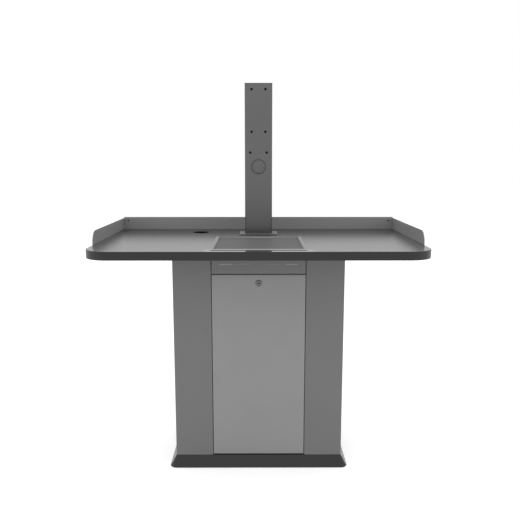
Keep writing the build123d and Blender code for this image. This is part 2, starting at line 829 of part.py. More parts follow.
# Recess frame: a raised rim with a wall that lines the pocket, and the plate that lifts out
with BuildPart() as recess_frame:
    with BuildSketch(Plane.XY.offset(worktop_height)):
        with Locations((0, recess_middle)):
            RectangleRounded(recess_width, recess_depth, recess_corner)
    extrude(amount=recess_proud)
    fillet(recess_frame.faces().sort_by(Axis.Z)[-1].edges(), recess_proud / 3)
    with BuildSketch(Plane.XY.offset(pocket_floor)):
        with Locations((0, recess_open_middle)):
            Rectangle(recess_open_width + 2 * recess_wall, recess_open_depth + 2 * recess_wall)
    extrude(amount=worktop_height - pocket_floor)
    with BuildSketch(Plane.XY.offset(pocket_floor)):
        with Locations((0, recess_open_middle)):
            Rectangle(recess_open_width, recess_open_depth)
    extrude(amount=recess_top - pocket_floor, mode=Mode.SUBTRACT)
save(recess_frame, "recess_frame")

with BuildPart() as recess_plate:
    with BuildSketch(Plane.XY.offset(pocket_floor)):
        with Locations((0, recess_open_middle)):
            Rectangle(recess_open_width - 2 * recess_plate_gap, recess_open_depth - 2 * recess_plate_gap)
    extrude(amount=recess_plate_thick)
    chamfer(recess_plate.faces().sort_by(Axis.Z)[-1].edges(), recess_plate_gap)
save(recess_plate, "recess_plate")

# Mast foot: flange, studs, backing plate, washers and nuts
with BuildPart() as mast_flange:
    with BuildSketch(Plane.XY.offset(worktop_height)):
        with Locations((0, mast_middle)):
            RectangleRounded(flange_width, flange_depth, flange_corner)
            SlotOverall(mast_slot_width, mast_slot_depth, mode=Mode.SUBTRACT)
    extrude(amount=flange_thick)
    chamfer(
        mast_flange.faces().sort_by(Axis.Z)[-1].outer_wire().edges(), flange_thick / 8
    )
save(mast_flange, "mast_flange")

with BuildPart() as mast_studs:
    with BuildSketch(Plane.XY.offset(stud_bottom)):
        with Locations(*stud_places):
            Circle(stud_dia / 2)
    extrude(amount=worktop_height - stud_bottom)
save(mast_studs, "mast_studs")

with BuildPart() as backing_plate:
    with BuildSketch(Plane.XY.offset(backing_under)):
        with Locations((0, mast_middle)):
            RectangleRounded(flange_width, flange_depth, flange_corner)
        with Locations(*stud_places):
            Circle(stud_dia / 2 + stud_clearance, mode=Mode.SUBTRACT)
        with Locations((0, mast_middle)):
            SlotOverall(
                mast_slot_width + plate_hole_margin, mast_slot_depth + plate_hole_margin, mode=Mode.SUBTRACT
            )
    extrude(amount=backing_thick)
save(backing_plate, "mast_backing_plate")

with BuildPart() as stud_washers:
    with BuildSketch(Plane.XY.offset(nut_top)):
        with Locations(*stud_places):
            Circle(washer_dia / 2)
            Circle(stud_dia / 2 + fit, mode=Mode.SUBTRACT)
    extrude(amount=washer_thick)
save(stud_washers, "mast_washers")

with BuildPart() as stud_nuts:
    with BuildSketch(Plane.XY.offset(nut_top)):
        with Locations(*stud_places):
            RegularPolygon(stud_nut_hex / 2, 6, major_radius=False)
            Circle(stud_dia / 2 + fit, mode=Mode.SUBTRACT)
    extrude(amount=-stud_nut_height)
save(stud_nuts, "mast_nuts")

# Mast tube, with interface holes and the grommet hole in its front face
with BuildPart() as mast_tube:
    with BuildSketch(Plane.XY.offset(tube_bottom)):
        with Locations((0, mast_middle)):
            RectangleRounded(mast_width, mast_depth, mast_corner)
            RectangleRounded(
                mast_width - 2 * mast_wall,
                mast_depth - 2 * mast_wall,
                mast_corner - mast_wall,
                mode=Mode.SUBTRACT,
            )
    extrude(amount=tube_top - tube_bottom)
    with Locations(*[facing_front(x, mast_front, z) for x, z in insert_places]):
        Hole(insert_dia / 2 + fit, 2 * mast_wall)
    with Locations(facing_front(0, mast_front, grommet_z)):
        Hole(grommet_body_dia / 2 + fit, 2 * mast_wall)
save(mast_tube, "mast_tube")

with BuildPart() as mast_cap:
    with BuildSketch(Plane.XY.offset(tube_top)):
        with Locations((0, mast_middle)):
            RectangleRounded(mast_width, mast_depth, mast_corner)
    extrude(amount=mast_cap_thick)
    fillet(mast_cap.faces().sort_by(Axis.Z)[-1].edges(), mast_cap_thick / 3)
    with BuildSketch(Plane.XY.offset(tube_top)):
        with Locations((0, mast_middle)):
            Rectangle(
                mast_width - 2 * (mast_wall + mast_cap_fit) - mast_corner,
                mast_depth - 2 * (mast_wall + mast_cap_fit),
            )
            Rectangle(
                mast_width - 2 * (mast_wall + mast_cap_fit + mast_cap_wall) - mast_corner,
                mast_depth - 2 * (mast_wall + mast_cap_fit + mast_cap_wall),
                mode=Mode.SUBTRACT,
            )
    extrude(amount=-mast_cap_insert)
save(mast_cap, "mast_cap")

with BuildPart() as mast_inserts:
    with BuildSketch(Plane.XZ.offset(-mast_front)):
        with Locations(*insert_places):
            Circle(insert_dia / 2)
            Circle(insert_bore / 2, mode=Mode.SUBTRACT)
    extrude(amount=-insert_length)
save(mast_inserts, "mast_inserts")

with BuildPart() as grommet_ring:
    for start, length, radius in (
        (mast_front - grommet_proud, grommet_proud, grommet_flange_dia / 2),
        (mast_front, grommet_depth, grommet_body_dia / 2),
    ):
        with BuildSketch(Plane.XZ.offset(-start)):
            with Locations((0, grommet_z)):
                Circle(radius)
        extrude(amount=-length)
    fillet(grommet_ring.faces().sort_by(Axis.Y)[0].edges(), grommet_proud / 2)
    with Locations(facing_front(0, mast_front - grommet_proud, grommet_z)):
        Hole(grommet_ledge_bore / 2)
        CounterBoreHole(
            grommet_ledge_bore / 2, grommet_bore / 2, grommet_proud + grommet_ledge_setback
        )
save(grommet_ring, "grommet_ring")

with BuildPart() as grommet_lid:
    with BuildSketch(Plane.XZ.offset(-(mast_front + grommet_ledge_setback))):
        with Locations((0, grommet_z)):
            Circle(grommet_bore / 2 - grommet_lid_gap)
        with Locations((0, grommet_z - grommet_bore / 2 + grommet_lid_gap)):
            Rectangle(grommet_notch_width, 2 * grommet_notch_depth, mode=Mode.SUBTRACT)
    extrude(amount=grommet_lid_thick)
    chamfer(grommet_lid.faces().sort_by(Axis.Y)[0].edges(), grommet_lid_gap)
save(grommet_lid, "grommet_lid")

# Door skin: a pan open at the back, with holes for the lock and the pivot pins
with BuildPart() as door_skin:
    with BuildSketch(Plane.XZ.offset(-door_back)):
        with Locations((0, (door_bottom + door_top) / 2)):
            Rectangle(door_width, door_height)
    extrude(amount=door_depth)
    fillet(door_skin.edges().filter_by(Axis.Z).group_by(Axis.Y)[0], door_edge_round)
    with BuildSketch(Plane.XZ.offset(-door_back)):
        with Locations((0, (door_bottom + door_top) / 2)):
            Rectangle(door_width - 2 * sheet, door_height - 2 * sheet)
    extrude(amount=door_depth - sheet, mode=Mode.SUBTRACT)
    with Locations(facing_front(0, cabinet_front, lock_z)):
        Hole(lock_barrel_dia / 2 + fit, 2 * sheet)
    with Locations(*[facing_side(side * door_side, pivot_y, pivot_z, side) for side in (-1, 1)]):
        Hole(pin_dia / 2 + fit, 2 * sheet)
save(door_skin, "door_skin")

# Door liner: a shallow tray that closes the back of the skin
with BuildPart() as door_liner:
    with BuildSketch(Plane.XZ.offset(-door_back)):
        with Locations((0, (door_bottom + door_top) / 2)):
            Rectangle(door_width - 2 * sheet, door_height - 2 * sheet)
    extrude(amount=liner_flange)
    with BuildSketch(Plane.XZ.offset(liner_sheet - door_back)):
        with Locations((0, (door_bottom + door_top) / 2)):
            Rectangle(
                door_width - 2 * (sheet + liner_sheet), door_height - 2 * (sheet + liner_sheet)
            )
    extrude(amount=liner_flange, mode=Mode.SUBTRACT)
    with Locations(facing_front(0, door_back - liner_sheet, lock_z)):
        Hole(liner_lock_hole / 2, 2 * liner_sheet)
save(door_liner, "door_liner")

# Pivot pins, with their heads inside the door, and the bushes that they turn in
with BuildPart() as pivot_pins:
    for side in (-1, 1):
        for start, length, radius in (
            (door_side - sheet - pin_head_thick, pin_head_thick, pin_head_dia / 2),
            (door_side - sheet, pin_reach + sheet + door_gap, pin_dia / 2),
        ):
            with BuildSketch(facing_side(side * start, pivot_y, pivot_z, side)):
                Circle(radius)
            extrude(amount=length)
save(pivot_pins, "pivot_pins")

with BuildPart() as pivot_bushes:
    for side in (-1, 1):
        for start, length, radius in (
            (opening_side - bush_flange_thick, bush_flange_thick, bush_flange_dia / 2),
            (opening_side, pin_reach, pin_dia / 2 + bush_wall + fit),
        ):
            with BuildSketch(facing_side(side * start, pivot_y, pivot_z, side)):
                Circle(radius)
                Circle(pin_dia / 2 + fit, mode=Mode.SUBTRACT)
            extrude(amount=length)
save(pivot_bushes, "pivot_bushes")

# Door stops: an angle on each column's return, with a rubber buffer behind the door
stop_z = door_top - stop_drop
stop_y = door_back + stop_gap
with BuildPart() as door_stops:
    for side in (-1, 1):
        with BuildSketch(Plane.XY.offset(stop_z - stop_height / 2)):
            with Locations((side * (opening_side - stop_width / 2), stop_y + sheet / 2)):
                Rectangle(stop_width, sheet)
            stop_leg = cabinet_front + column_return - stop_y
            with Locations((side * (opening_side - sheet / 2), stop_y + stop_leg / 2)):
                Rectangle(sheet, stop_leg)
        extrude(amount=stop_height)
save(door_stops, "door_stops")

with BuildPart() as door_buffers:
    with BuildSketch(Plane.XZ.offset(-stop_y)):
        with Locations(
            *[(side * (opening_side - stop_width / 2 - sheet), stop_z) for side in (-1, 1)]
        ):
            Circle(buffer_dia / 2)
    extrude(amount=stop_gap - buffer_gap)
save(door_buffers, "door_buffers")

# Cam lock: body and nut stay with the door, plug, cam and screw turn with the key
with BuildPart() as lock_body:
    for start, length, radius in (
        (cabinet_front - lock_head_proud, lock_head_proud, lock_head_dia / 2),
        (cabinet_front, lock_barrel_length, lock_barrel_dia / 2),
    ):
        with BuildSketch(Plane.XZ.offset(-start)):
            with Locations((0, lock_z)):
                Circle(radius)
        extrude(amount=-length)
    chamfer(lock_body.faces().sort_by(Axis.Y)[0].edges(), lock_head_proud / 2)
    with Locations(facing_front(0, cabinet_front - lock_head_proud, lock_z)):
        Hole(lock_plug_dia / 2 + fit)
save(lock_body, "lock_body")

with BuildPart() as lock_nut:
    with BuildSketch(Plane.XZ.offset(-(cabinet_front + sheet))):
        with Locations((0, lock_z)):
            RegularPolygon(lock_nut_hex / 2, 6, major_radius=False)
            Circle(lock_barrel_dia / 2 + fit, mode=Mode.SUBTRACT)
    extrude(amount=-lock_nut_thick)
save(lock_nut, "lock_nut")

with BuildPart() as lock_plug:
    with BuildSketch(Plane.XZ.offset(lock_head_proud - cabinet_front)):
        with Locations((0, lock_z)):
            Circle(lock_plug_dia / 2)
    extrude(amount=-(lock_head_proud + lock_barrel_length))
    with BuildSketch(Plane.XZ.offset(-barrel_end)):
        with Locations((0, lock_z)):
            Rectangle(tail_square, tail_square)
    extrude(amount=-(tail_end - barrel_end))
    with BuildSketch(Plane.XZ.offset(lock_head_proud - cabinet_front)):
        with Locations((0, lock_z)):
            SlotOverall(keyway_width, keyway_height)
    extrude(amount=-keyway_depth, mode=Mode.SUBTRACT)
    with Locations(facing_rear(0, tail_end, lock_z)):
        Hole(cam_screw_dia / 2 + fit, cam_screw_depth)
save(lock_plug, "lock_plug")

with BuildPart() as lock_cam:
    with BuildSketch(Plane.XZ.offset(-cam_front)):
        with Locations((cam_reach / 2 - cam_width / 4, lock_z)):
            RectangleRounded(cam_reach + cam_width / 2, cam_width, cam_width / 3)
        with Locations((0, lock_z)):
            Rectangle(tail_square + 2 * fit, tail_square + 2 * fit, mode=Mode.SUBTRACT)
    extrude(amount=-cam_thick)
save(lock_cam, "lock_cam")

with BuildPart() as cam_screw:
    for radius, length in (
        (cam_screw_head_dia / 2, -cam_screw_head_thick),
        (cam_screw_dia / 2, cam_screw_depth),
    ):
        with BuildSketch(Plane.XZ.offset(-tail_end)):
            with Locations((0, lock_z)):
                Circle(radius)
        extrude(amount=length)
save(cam_screw, "cam_screw")
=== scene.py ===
"""Looks of a self-service kiosk stand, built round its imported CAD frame.

Lengths are metres in the frame of the solids: +X to the customer's right, +Y away from the customer
and +Z up. Places come from the solids' own boxes, so each new piece sits where the CAD says.
"""

import functools
import logging
import math
from dataclasses import dataclass
from enum import Enum
from typing import Any, Callable, Mapping, Optional, Sequence, Union

import bmesh
import bpy
import numpy as np
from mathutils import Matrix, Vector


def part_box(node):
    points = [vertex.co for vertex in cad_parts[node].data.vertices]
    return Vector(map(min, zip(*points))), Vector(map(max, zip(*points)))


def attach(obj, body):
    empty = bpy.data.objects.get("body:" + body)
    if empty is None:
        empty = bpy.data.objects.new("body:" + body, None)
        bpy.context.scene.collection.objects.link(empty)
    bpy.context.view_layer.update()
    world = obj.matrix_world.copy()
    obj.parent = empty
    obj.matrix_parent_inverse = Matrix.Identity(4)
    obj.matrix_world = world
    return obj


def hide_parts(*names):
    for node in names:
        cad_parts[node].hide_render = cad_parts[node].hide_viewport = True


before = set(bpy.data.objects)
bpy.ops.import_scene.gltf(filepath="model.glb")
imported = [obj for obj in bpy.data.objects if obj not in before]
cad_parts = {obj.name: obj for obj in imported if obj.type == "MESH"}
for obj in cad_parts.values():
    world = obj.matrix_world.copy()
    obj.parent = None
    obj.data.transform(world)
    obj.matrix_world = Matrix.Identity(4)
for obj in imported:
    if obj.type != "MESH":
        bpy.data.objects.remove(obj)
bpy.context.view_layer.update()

log = logging.getLogger("kiosk_stand")

Array = np.ndarray
Box = tuple[Array, Array]
Point = tuple[float, float, float]

TURN = 2 * math.pi
QUARTER = math.pi / 2

# Points nearer than MERGE are one point. A fold over SMOOTH is shaded sharp, and a corner over SOFTENED
# gets a small bevel. PLAY is the gap between a thread and its nut.
MERGE = 1e-6
SMOOTH = math.radians(38)
SOFTENED = math.radians(50)
PLAY = 0.00005

# Points round a shape: fewer for small and plain ones, FINE for ribs and notches
TINY, SMALL, MEDIUM, LARGE, FINE = 24, 32, 64, 96, 144

# Shapes of the outlines, as shares of the radius and in radians
LOBE_DEPTH = 0.15
RIB_DEPTH, RIB_COUNT = 0.025, 24
SLOT_WIDTH = 0.34
NOTCH_DEPTH, NOTCH_SPAN = 0.07, 0.18


# Places and outlines


class Facing(Enum):
    """Where a shape's own x, y and z axes point in the CAD frame."""

    UP = ((1, 0, 0), (0, 1, 0), (0, 0, 1))
    DOWN = ((1, 0, 0), (0, -1, 0), (0, 0, -1))
    FRONT = ((1, 0, 0), (0, 0, 1), (0, -1, 0))
    REAR = ((-1, 0, 0), (0, 0, 1), (0, 1, 0))
    RIGHT = ((0, 1, 0), (0, 0, 1), (1, 0, 0))
    LEFT = ((0, -1, 0), (0, 0, 1), (-1, 0, 0))


@dataclass(frozen=True)
class Place:
    """A local frame for a shape: its origin and the way it faces."""

    origin: Point
    facing: Facing = Facing.UP

    def put(self, points: Array) -> Array:
        """Points in the CAD frame: P = origin + x X + y Y + z Z.

        Args:
            points: local points, one row each.

        Returns:
            The same points in the CAD frame.
        """
        return np.asarray(self.origin, float) + points @ np.array(self.facing.value, float)


class Outline(Enum):
    """Shape of one ring round an axis."""

    ROUND = "round"
    HEXAGON = "hexagon"
    LOBES = "six lobes"
    SLOT = "slot with round ends"
    RIBS = "grip ribs"
    NOTCH = "round with a finger notch at its foot"

    def reach(self, angle: Array) -> Array:
        """Distance from the axis as a share of the ring's radius.

        A hexagon reaches 1 / cos of the angle to its nearest flat. Lobes are 1 + d cos 6a and ribs are
        1 + d cos na. A slot's flank is w / |sin a| and its ends are circles of radius w. A notch takes
        its depth off within its span of the foot, as exp(-(a / span)^4).

        Args:
            angle: angles round the axis, in radians.

        Returns:
            The share at each angle.
        """
        if self is Outline.HEXAGON:
            sixth = TURN / 6
            return 1 / np.cos(np.mod(angle + sixth / 2, sixth) - sixth / 2)
        if self is Outline.LOBES:
            return 1 + LOBE_DEPTH * np.cos(6 * angle)
        if self is Outline.RIBS:
            return 1 + RIB_DEPTH * np.cos(RIB_COUNT * angle)
        if self is Outline.SLOT:
            across, along = np.abs(np.sin(angle)), np.abs(np.cos(angle))
            flank = SLOT_WIDTH / np.maximum(across, 1e-9)
            reach = 1 - SLOT_WIDTH
            end = reach * along + np.sqrt(np.maximum(SLOT_WIDTH**2 - (reach * across) ** 2, 0))
            return np.where(flank * along <= reach, flank, end)
        if self is Outline.NOTCH:
            off = np.mod(angle - 0.75 * TURN + math.pi, TURN) - math.pi
            return 1 - NOTCH_DEPTH * np.exp(-((off / NOTCH_SPAN) ** 4))
        return np.ones_like(angle)


@dataclass(frozen=True)
class Ring:
    """One ring of a turned or milled shape."""

    radius: float
    height: float
    outline: Outline = Outline.ROUND


def rings(*rows: tuple[Any, ...]) -> list[Ring]:
    """Rings from rows of radius, height and, where it isn't round, outline."""
    return [Ring(*row) for row in rows]


# Surfaces


@dataclass
class Patch:
    """Points and four-sided faces of one or more surfaces."""

    points: Array
    quads: Array

    @staticmethod
    def sheet(grid: Array, round_u: bool = False, round_v: bool = False) -> "Patch":
        """Faces over a grid of points P(i, j).

        Face (i, j) joins P(i, j), P(i + 1, j), P(i + 1, j + 1) and P(i, j + 1), and i or j starts
        again at 0 where the surface closes on itself.

        Args:
            grid: points, shaped (i, j, 3).
            round_u: whether the surface closes in i.
            round_v: whether the surface closes in j.

        Returns:
            The surface.
        """
        rows, columns = grid.shape[:2]
        i, j = np.meshgrid(
            np.arange(rows if round_u else rows - 1),
            np.arange(columns if round_v else columns - 1),
            indexing="ij",
        )
        i, j = i.ravel(), j.ravel()
        after_i, after_j = (i + 1) % rows, (j + 1) % columns
        corners = (i * columns + j, after_i * columns + j, after_i * columns + after_j, i * columns + after_j)
        return Patch(grid.reshape(-1, 3), np.stack(corners, axis=1))

    @staticmethod
    def joined(patches: Sequence["Patch"]) -> "Patch":
        """All the patches as one, each one's faces counted on from the points before it.

        Args:
            patches: the patches in order.

        Returns:
            One patch.
        """
        starts = np.cumsum([0] + [len(patch.points) for patch in patches[:-1]])
        return Patch(
            np.concatenate([patch.points for patch in patches]),
            np.concatenate([patch.quads + start for patch, start in zip(patches, starts)]),
        )

    def at(self, place: Place) -> "Patch":
        """The patch moved into the CAD frame."""
        return Patch(place.put(self.points), self.quads)


def stack(section: Sequence[Ring], segments: int = 48, closed: bool = False) -> Patch:
    """A turned shape: P(a, k) = (r cos a, r sin a, h), with r = radius of ring k times its outline.

    Args:
        section: rings in order along the section.
        segments: points round each ring.
        closed: whether the section closes on itself, as a washer's does.

    Returns:
        The surface.
    """
    angle = np.arange(segments) * TURN / segments
    radius = np.stack([ring.radius * ring.outline.reach(angle) for ring in section], axis=1)
    height = np.broadcast_to([ring.height for ring in section], radius.shape)
    grid = np.stack([radius * np.cos(angle)[:, None], radius * np.sin(angle)[:, None], height], axis=2)
    return Patch.sheet(grid, round_u=True, round_v=closed)


def thread(
    radius: float, pitch: float, depth: float, start: float, end: float, segments: int = 24, per_turn: int = 6
) -> Patch:
    """A screw thread: r(a, z) = radius - depth f (1 + cos(2 pi z / pitch - a)) / 2.

    f fades from 0 to 1 over the first and the last turn, so that the thread runs out.

    Args:
        radius: outside radius, or inside radius of a nut's thread with a negative depth.
        pitch: rise of one turn.
        depth: depth of the groove.
        start: height at which the thread starts.
        end: height at which it ends.
        segments: points round one turn.
        per_turn: rows along one pitch.

    Returns:
        The open threaded surface.
    """
    rows = max(3, int(round(abs(end - start) / pitch * per_turn)) + 1)
    height = np.linspace(start, end, rows)
    angle = np.arange(segments) * TURN / segments
    fade = np.clip(np.minimum(np.abs(height - start), np.abs(end - height)) / pitch, 0, 1)
    wave = (1 + np.cos(TURN * height / pitch - angle[:, None])) / 2
    r = radius - depth * fade * wave
    across = (r * np.cos(angle)[:, None], r * np.sin(angle)[:, None])
    return Patch.sheet(np.stack([*across, np.broadcast_to(height, r.shape)], axis=2), round_u=True)


def rounded_rectangle(
    half_x: float, half_y: float, radius: float, side_steps: int = 1, arc_steps: int = 6
) -> tuple[Array, Array]:
    """Points and outward normals of a rounded rectangle.

    Each corner is C + r (cos t, sin t) round its centre C, and each side runs straight to the next.

    Args:
        half_x: half the width.
        half_y: half the depth.
        radius: corner radius.
        side_steps: steps along each straight side.
        arc_steps: steps round each corner.

    Returns:
        Points and unit normals, one row each.
    """
    centres = np.array([(1, 1), (-1, 1), (-1, -1), (1, -1)]) * (half_x - radius, half_y - radius)
    turn = (np.arange(4)[:, None] + np.linspace(0, 1, arc_steps + 1)) * QUARTER
    normals = np.stack([np.cos(turn), np.sin(turn)], axis=-1)
    arcs = centres[:, None] + radius * normals
    share = np.linspace(0, 1, side_steps + 1)[1:-1, None]
    last, following = arcs[:, -1:], np.roll(arcs[:, 0], -1, axis=0)[:, None]
    sides = last + (following - last) * share
    side_normals = np.repeat(normals[:, -1:], len(share), axis=1)
    points = np.concatenate([arcs, sides], axis=1)
    directions = np.concatenate([normals, side_normals], axis=1)
    return points.reshape(-1, 2), directions.reshape(-1, 2)


@dataclass(frozen=True)
class Course:
    """One course of a swept frame: a rounded rectangle at a height."""

    half_x: float
    half_y: float
    corner: float
    height: float
    shift_y: float = 0.0


def swept_frame(courses: Sequence[Course], arc_steps: int = 8) -> Patch:
    """A closed frame: P(s, k) runs round course k's rounded rectangle at s, and k closes on itself.

    Args:
        courses: the section's corners in order, each as the rounded rectangle that it runs round.
        arc_steps: steps round each corner.

    Returns:
        The surface.
    """
    rows = []
    for course in courses:
        x, y, corner = course.half_x, course.half_y, course.corner
        points, _ = rounded_rectangle(x, y, corner, side_steps=4, arc_steps=arc_steps)
        rows.append(np.column_stack([points + (0, course.shift_y), np.full(len(points), course.height)]))
    return Patch.sheet(np.stack(rows, axis=1), round_u=True, round_v=True)


def lines(stops: Sequence[float], steps: Sequence[float]) -> Array:
    """Grid lines that hit every stop, no further apart than each stretch's own step.

    Args:
        stops: places that get a line, in order.
        steps: the widest step between each stop and the next.

    Returns:
        The places of all the lines.
    """
    parts = [
        np.linspace(a, b, max(1, math.ceil((b - a) / step - 1e-9)) + 1)[:-1]
        for a, b, step in zip(stops, stops[1:], steps)
    ]
    return np.concatenate([*parts, [stops[-1]]])


@dataclass(frozen=True)
class FoldedPan:
    """A pan folded from sheet, face up at z = 0, with flanges down to -depth.

    The face is (x, y, relief(x, y)). Round its edges the sheet turns through an arc: at arc angle t a
    ring stands r sin t outside the face's rectangle and r (1 - cos t) below it, and its corners are
    arcs of radius r sin t. The inside is the same with r less the sheet.
    """

    half_x: float
    half_y: float
    depth: float
    sheet: float
    bend: float
    x_lines: Array
    y_lines: Array
    relief: Optional[Callable[[Array, Array], Array]] = None
    hole: Optional[tuple[float, float, float]] = None
    hole_block: float = 1.3

    def ring(self, off: float, level: float, steps: int = 5) -> Array:
        """Points round the face at a distance outside its rectangle, with round corners.

        Args:
            off: the distance.
            level: height of the points.
            steps: steps round each corner.

        Returns:
            The points, one row each.
        """
        a, b = self.half_x - self.bend, self.half_y - self.bend
        x, y = self.x_lines, self.y_lines
        turn = np.linspace(0, QUARTER, steps + 1)[1:-1]
        corners = [
            np.stack([cx * a + off * np.cos(turn + start), cy * b + off * np.sin(turn + start)], axis=1)
            for start, cx, cy in ((3 * QUARTER, 1, -1), (0, 1, 1), (QUARTER, -1, 1), (2 * QUARTER, -1, -1))
        ]
        sides = (
            np.column_stack([x, np.full(len(x), -b - off)]),
            np.column_stack([np.full(len(y), a + off), y]),
            np.column_stack([x[::-1], np.full(len(x), b + off)]),
            np.column_stack([np.full(len(y), -a - off), y[::-1]]),
        )
        flat = np.concatenate([part for pair in zip(sides, corners) for part in pair])
        return np.column_stack([flat, np.full(len(flat), level)])

    def face(self, level: float) -> tuple[list[Patch], Optional[Array]]:
        """The face's grid at a level, with its round hole cut out.

        Round the hole, faces up to hole_block radii from its middle give way to rings.

        Args:
            level: height of the flat of this side of the sheet.

        Returns:
            The patches, and the hole's rim if there is one.
        """
        x, y = np.meshgrid(self.x_lines, self.y_lines, indexing="ij")
        z = np.full_like(x, level) if self.relief is None else level + self.relief(x, y)
        grid = np.stack([x, y, z], axis=2)
        patch = Patch.sheet(grid)
        if self.hole is None:
            return [patch], None
        centre, radius = np.array(self.hole[:2]), self.hole[2]
        reach = radius * self.hole_block
        i0, i1 = np.abs(self.x_lines[:, None] - (centre[0] - reach, centre[0] + reach)).argmin(0)
        j0, j1 = np.abs(self.y_lines[:, None] - (centre[1] - reach, centre[1] + reach)).argmin(0)
        i, j = np.divmod(patch.quads[:, 0], len(self.y_lines))
        inside = (i >= i0) & (i < i1) & (j >= j0) & (j < j1)
        patch = Patch(patch.points, patch.quads[~inside])
        loop = np.concatenate([grid[i0:i1, j0], grid[i1, j0:j1], grid[i1:i0:-1, j1], grid[i0, j1:j0:-1]])
        out = loop[:, :2] - centre
        rim = np.column_stack([centre + radius * out / np.linalg.norm(out, axis=1)[:, None], loop[:, 2]])
        return [patch, Patch.sheet(np.stack([loop, (loop + rim) / 2, rim], axis=1), round_u=True)], rim

    def side(self, radius: float, level: float) -> tuple[list[Patch], Array, Optional[Array]]:
        """One side of the sheet: its face, its bends and its flanges.

        Args:
            radius: radius of the bend on this side.
            level: height of the face on this side.

        Returns:
            The patches, the ring at the flanges' edge and the hole's rim.
        """
        patches, rim = self.face(level)
        turns = np.linspace(0, QUARTER, 6)
        loops = [self.ring(radius * math.sin(t), level - radius * (1 - math.cos(t))) for t in turns]
        loops.append(self.ring(radius, -self.depth))
        patches.append(Patch.sheet(np.stack(loops, axis=1), round_u=True))
        return patches, loops[-1], rim

    def build(self) -> Patch:
        """Join both sides of the sheet at the flanges' edge and at the hole.

        Returns:
            The whole pan.
        """
        outside, outer_edge, outer_rim = self.side(self.bend, 0.0)
        inside, inner_edge, inner_rim = self.side(self.bend - self.sheet, -self.sheet)
        joints = [Patch.sheet(np.stack([outer_edge, inner_edge], axis=1), round_u=True)]
        if outer_rim is not None:
            joints.append(Patch.sheet(np.stack([outer_rim, inner_rim], axis=1), round_u=True))
        return Patch.joined([*outside, *inside, *joints])


WELD_POWER = 1.25  # over 1 the fillet's face is hollow
WELD_SWELL = 0.09  # height of a ripple, in legs
WELD_BOW = 1.6  # how far a ripple bows across the bead, in radians of its phase
WELD_INSET = 0.4  # how far the bead reaches into the joint, in legs


def weld_bead(half_x: float, half_y: float, corner: float, leg: float, ripple: float) -> Patch:
    """A fillet weld round a rounded rectangle.

    P(s, t) = C(s) + leg w(s, t) (N(s) cos^p t, sin^p t) with p = WELD_POWER, and w = 1 + WELD_SWELL
    cos(2 pi s / ripple + WELD_BOW sin 2t), so that each ripple bows across the bead. Two more points
    close the section inside the joint.

    Args:
        half_x: half the tube's width.
        half_y: half the tube's depth.
        corner: the tube's corner radius.
        leg: leg of the fillet.
        ripple: distance between ripples.

    Returns:
        The surface.
    """
    points, normals = rounded_rectangle(half_x, half_y, corner, side_steps=90, arc_steps=12)
    gaps = np.linalg.norm(np.roll(points, -1, axis=0) - points, axis=1)
    along = np.concatenate([[0], np.cumsum(gaps)[:-1]])
    ripples = round(gaps.sum() / ripple)
    phase = TURN * ripples * along / gaps.sum()
    t = np.linspace(0, QUARTER, 7)
    size = leg * (1 + WELD_SWELL * np.cos(phase[:, None] + WELD_BOW * np.sin(2 * t)))
    out, up = size * np.cos(t) ** WELD_POWER, size * np.sin(t) ** WELD_POWER
    out = np.column_stack([out, np.full((len(points), 2), -WELD_INSET * leg)])
    up = np.column_stack([up, up[:, -1], np.zeros(len(points))])
    grid = np.concatenate([points[:, None] + normals[:, None] * out[:, :, None], up[:, :, None]], axis=2)
    return Patch.sheet(grid, round_u=True, round_v=True)


# The solids that the pieces sit on


def solids_of(node: str) -> list[Box]:
    """Boxes of a node's separate solids, in metres.

    Corners at one place count as one point, and each point takes the lowest label of the points that
    it shares an edge with until nothing changes.

    Args:
        node: name of the CAD node.

    Returns:
        Lowest and highest corner of each solid, ordered by place.
    """
    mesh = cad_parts[node].data
    points = np.empty(len(mesh.vertices) * 3)
    mesh.vertices.foreach_get("co", points)
    edges = np.empty(len(mesh.edges) * 2, np.int64)
    mesh.edges.foreach_get("vertices", edges)
    points = points.reshape(-1, 3)
    _, same = np.unique(np.round(points / MERGE), axis=0, return_inverse=True)
    a, b = same.ravel()[edges.reshape(-1, 2)].T
    label = np.arange(same.max() + 1)
    while True:
        spread = label.copy()
        np.minimum.at(spread, a, label[b])
        np.minimum.at(spread, b, label[a])
        spread = spread[spread]
        if (spread == label).all():
            break
        label = spread
    of_point = label[same.ravel()]
    boxes = [(points[of_point == k].min(0), points[of_point == k].max(0)) for k in np.unique(label)]
    return sorted(boxes, key=lambda box: tuple(np.round(box[0], 5)))


def box_of(node: str) -> Box:
    """Lowest and highest corner of a whole node, as arrays."""
    low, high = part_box(node)
    return np.array(low), np.array(high)


def central(box: Box, y: float, facing: Facing = Facing.FRONT) -> Place:
    """A place on the stand's middle plane, half way up a box."""
    return Place((0.0, y, (box[0][2] + box[1][2]) / 2), facing)


# Shader nodes

Value = Union["Socket", float]
NOTHING: Mapping[str, Any] = {}


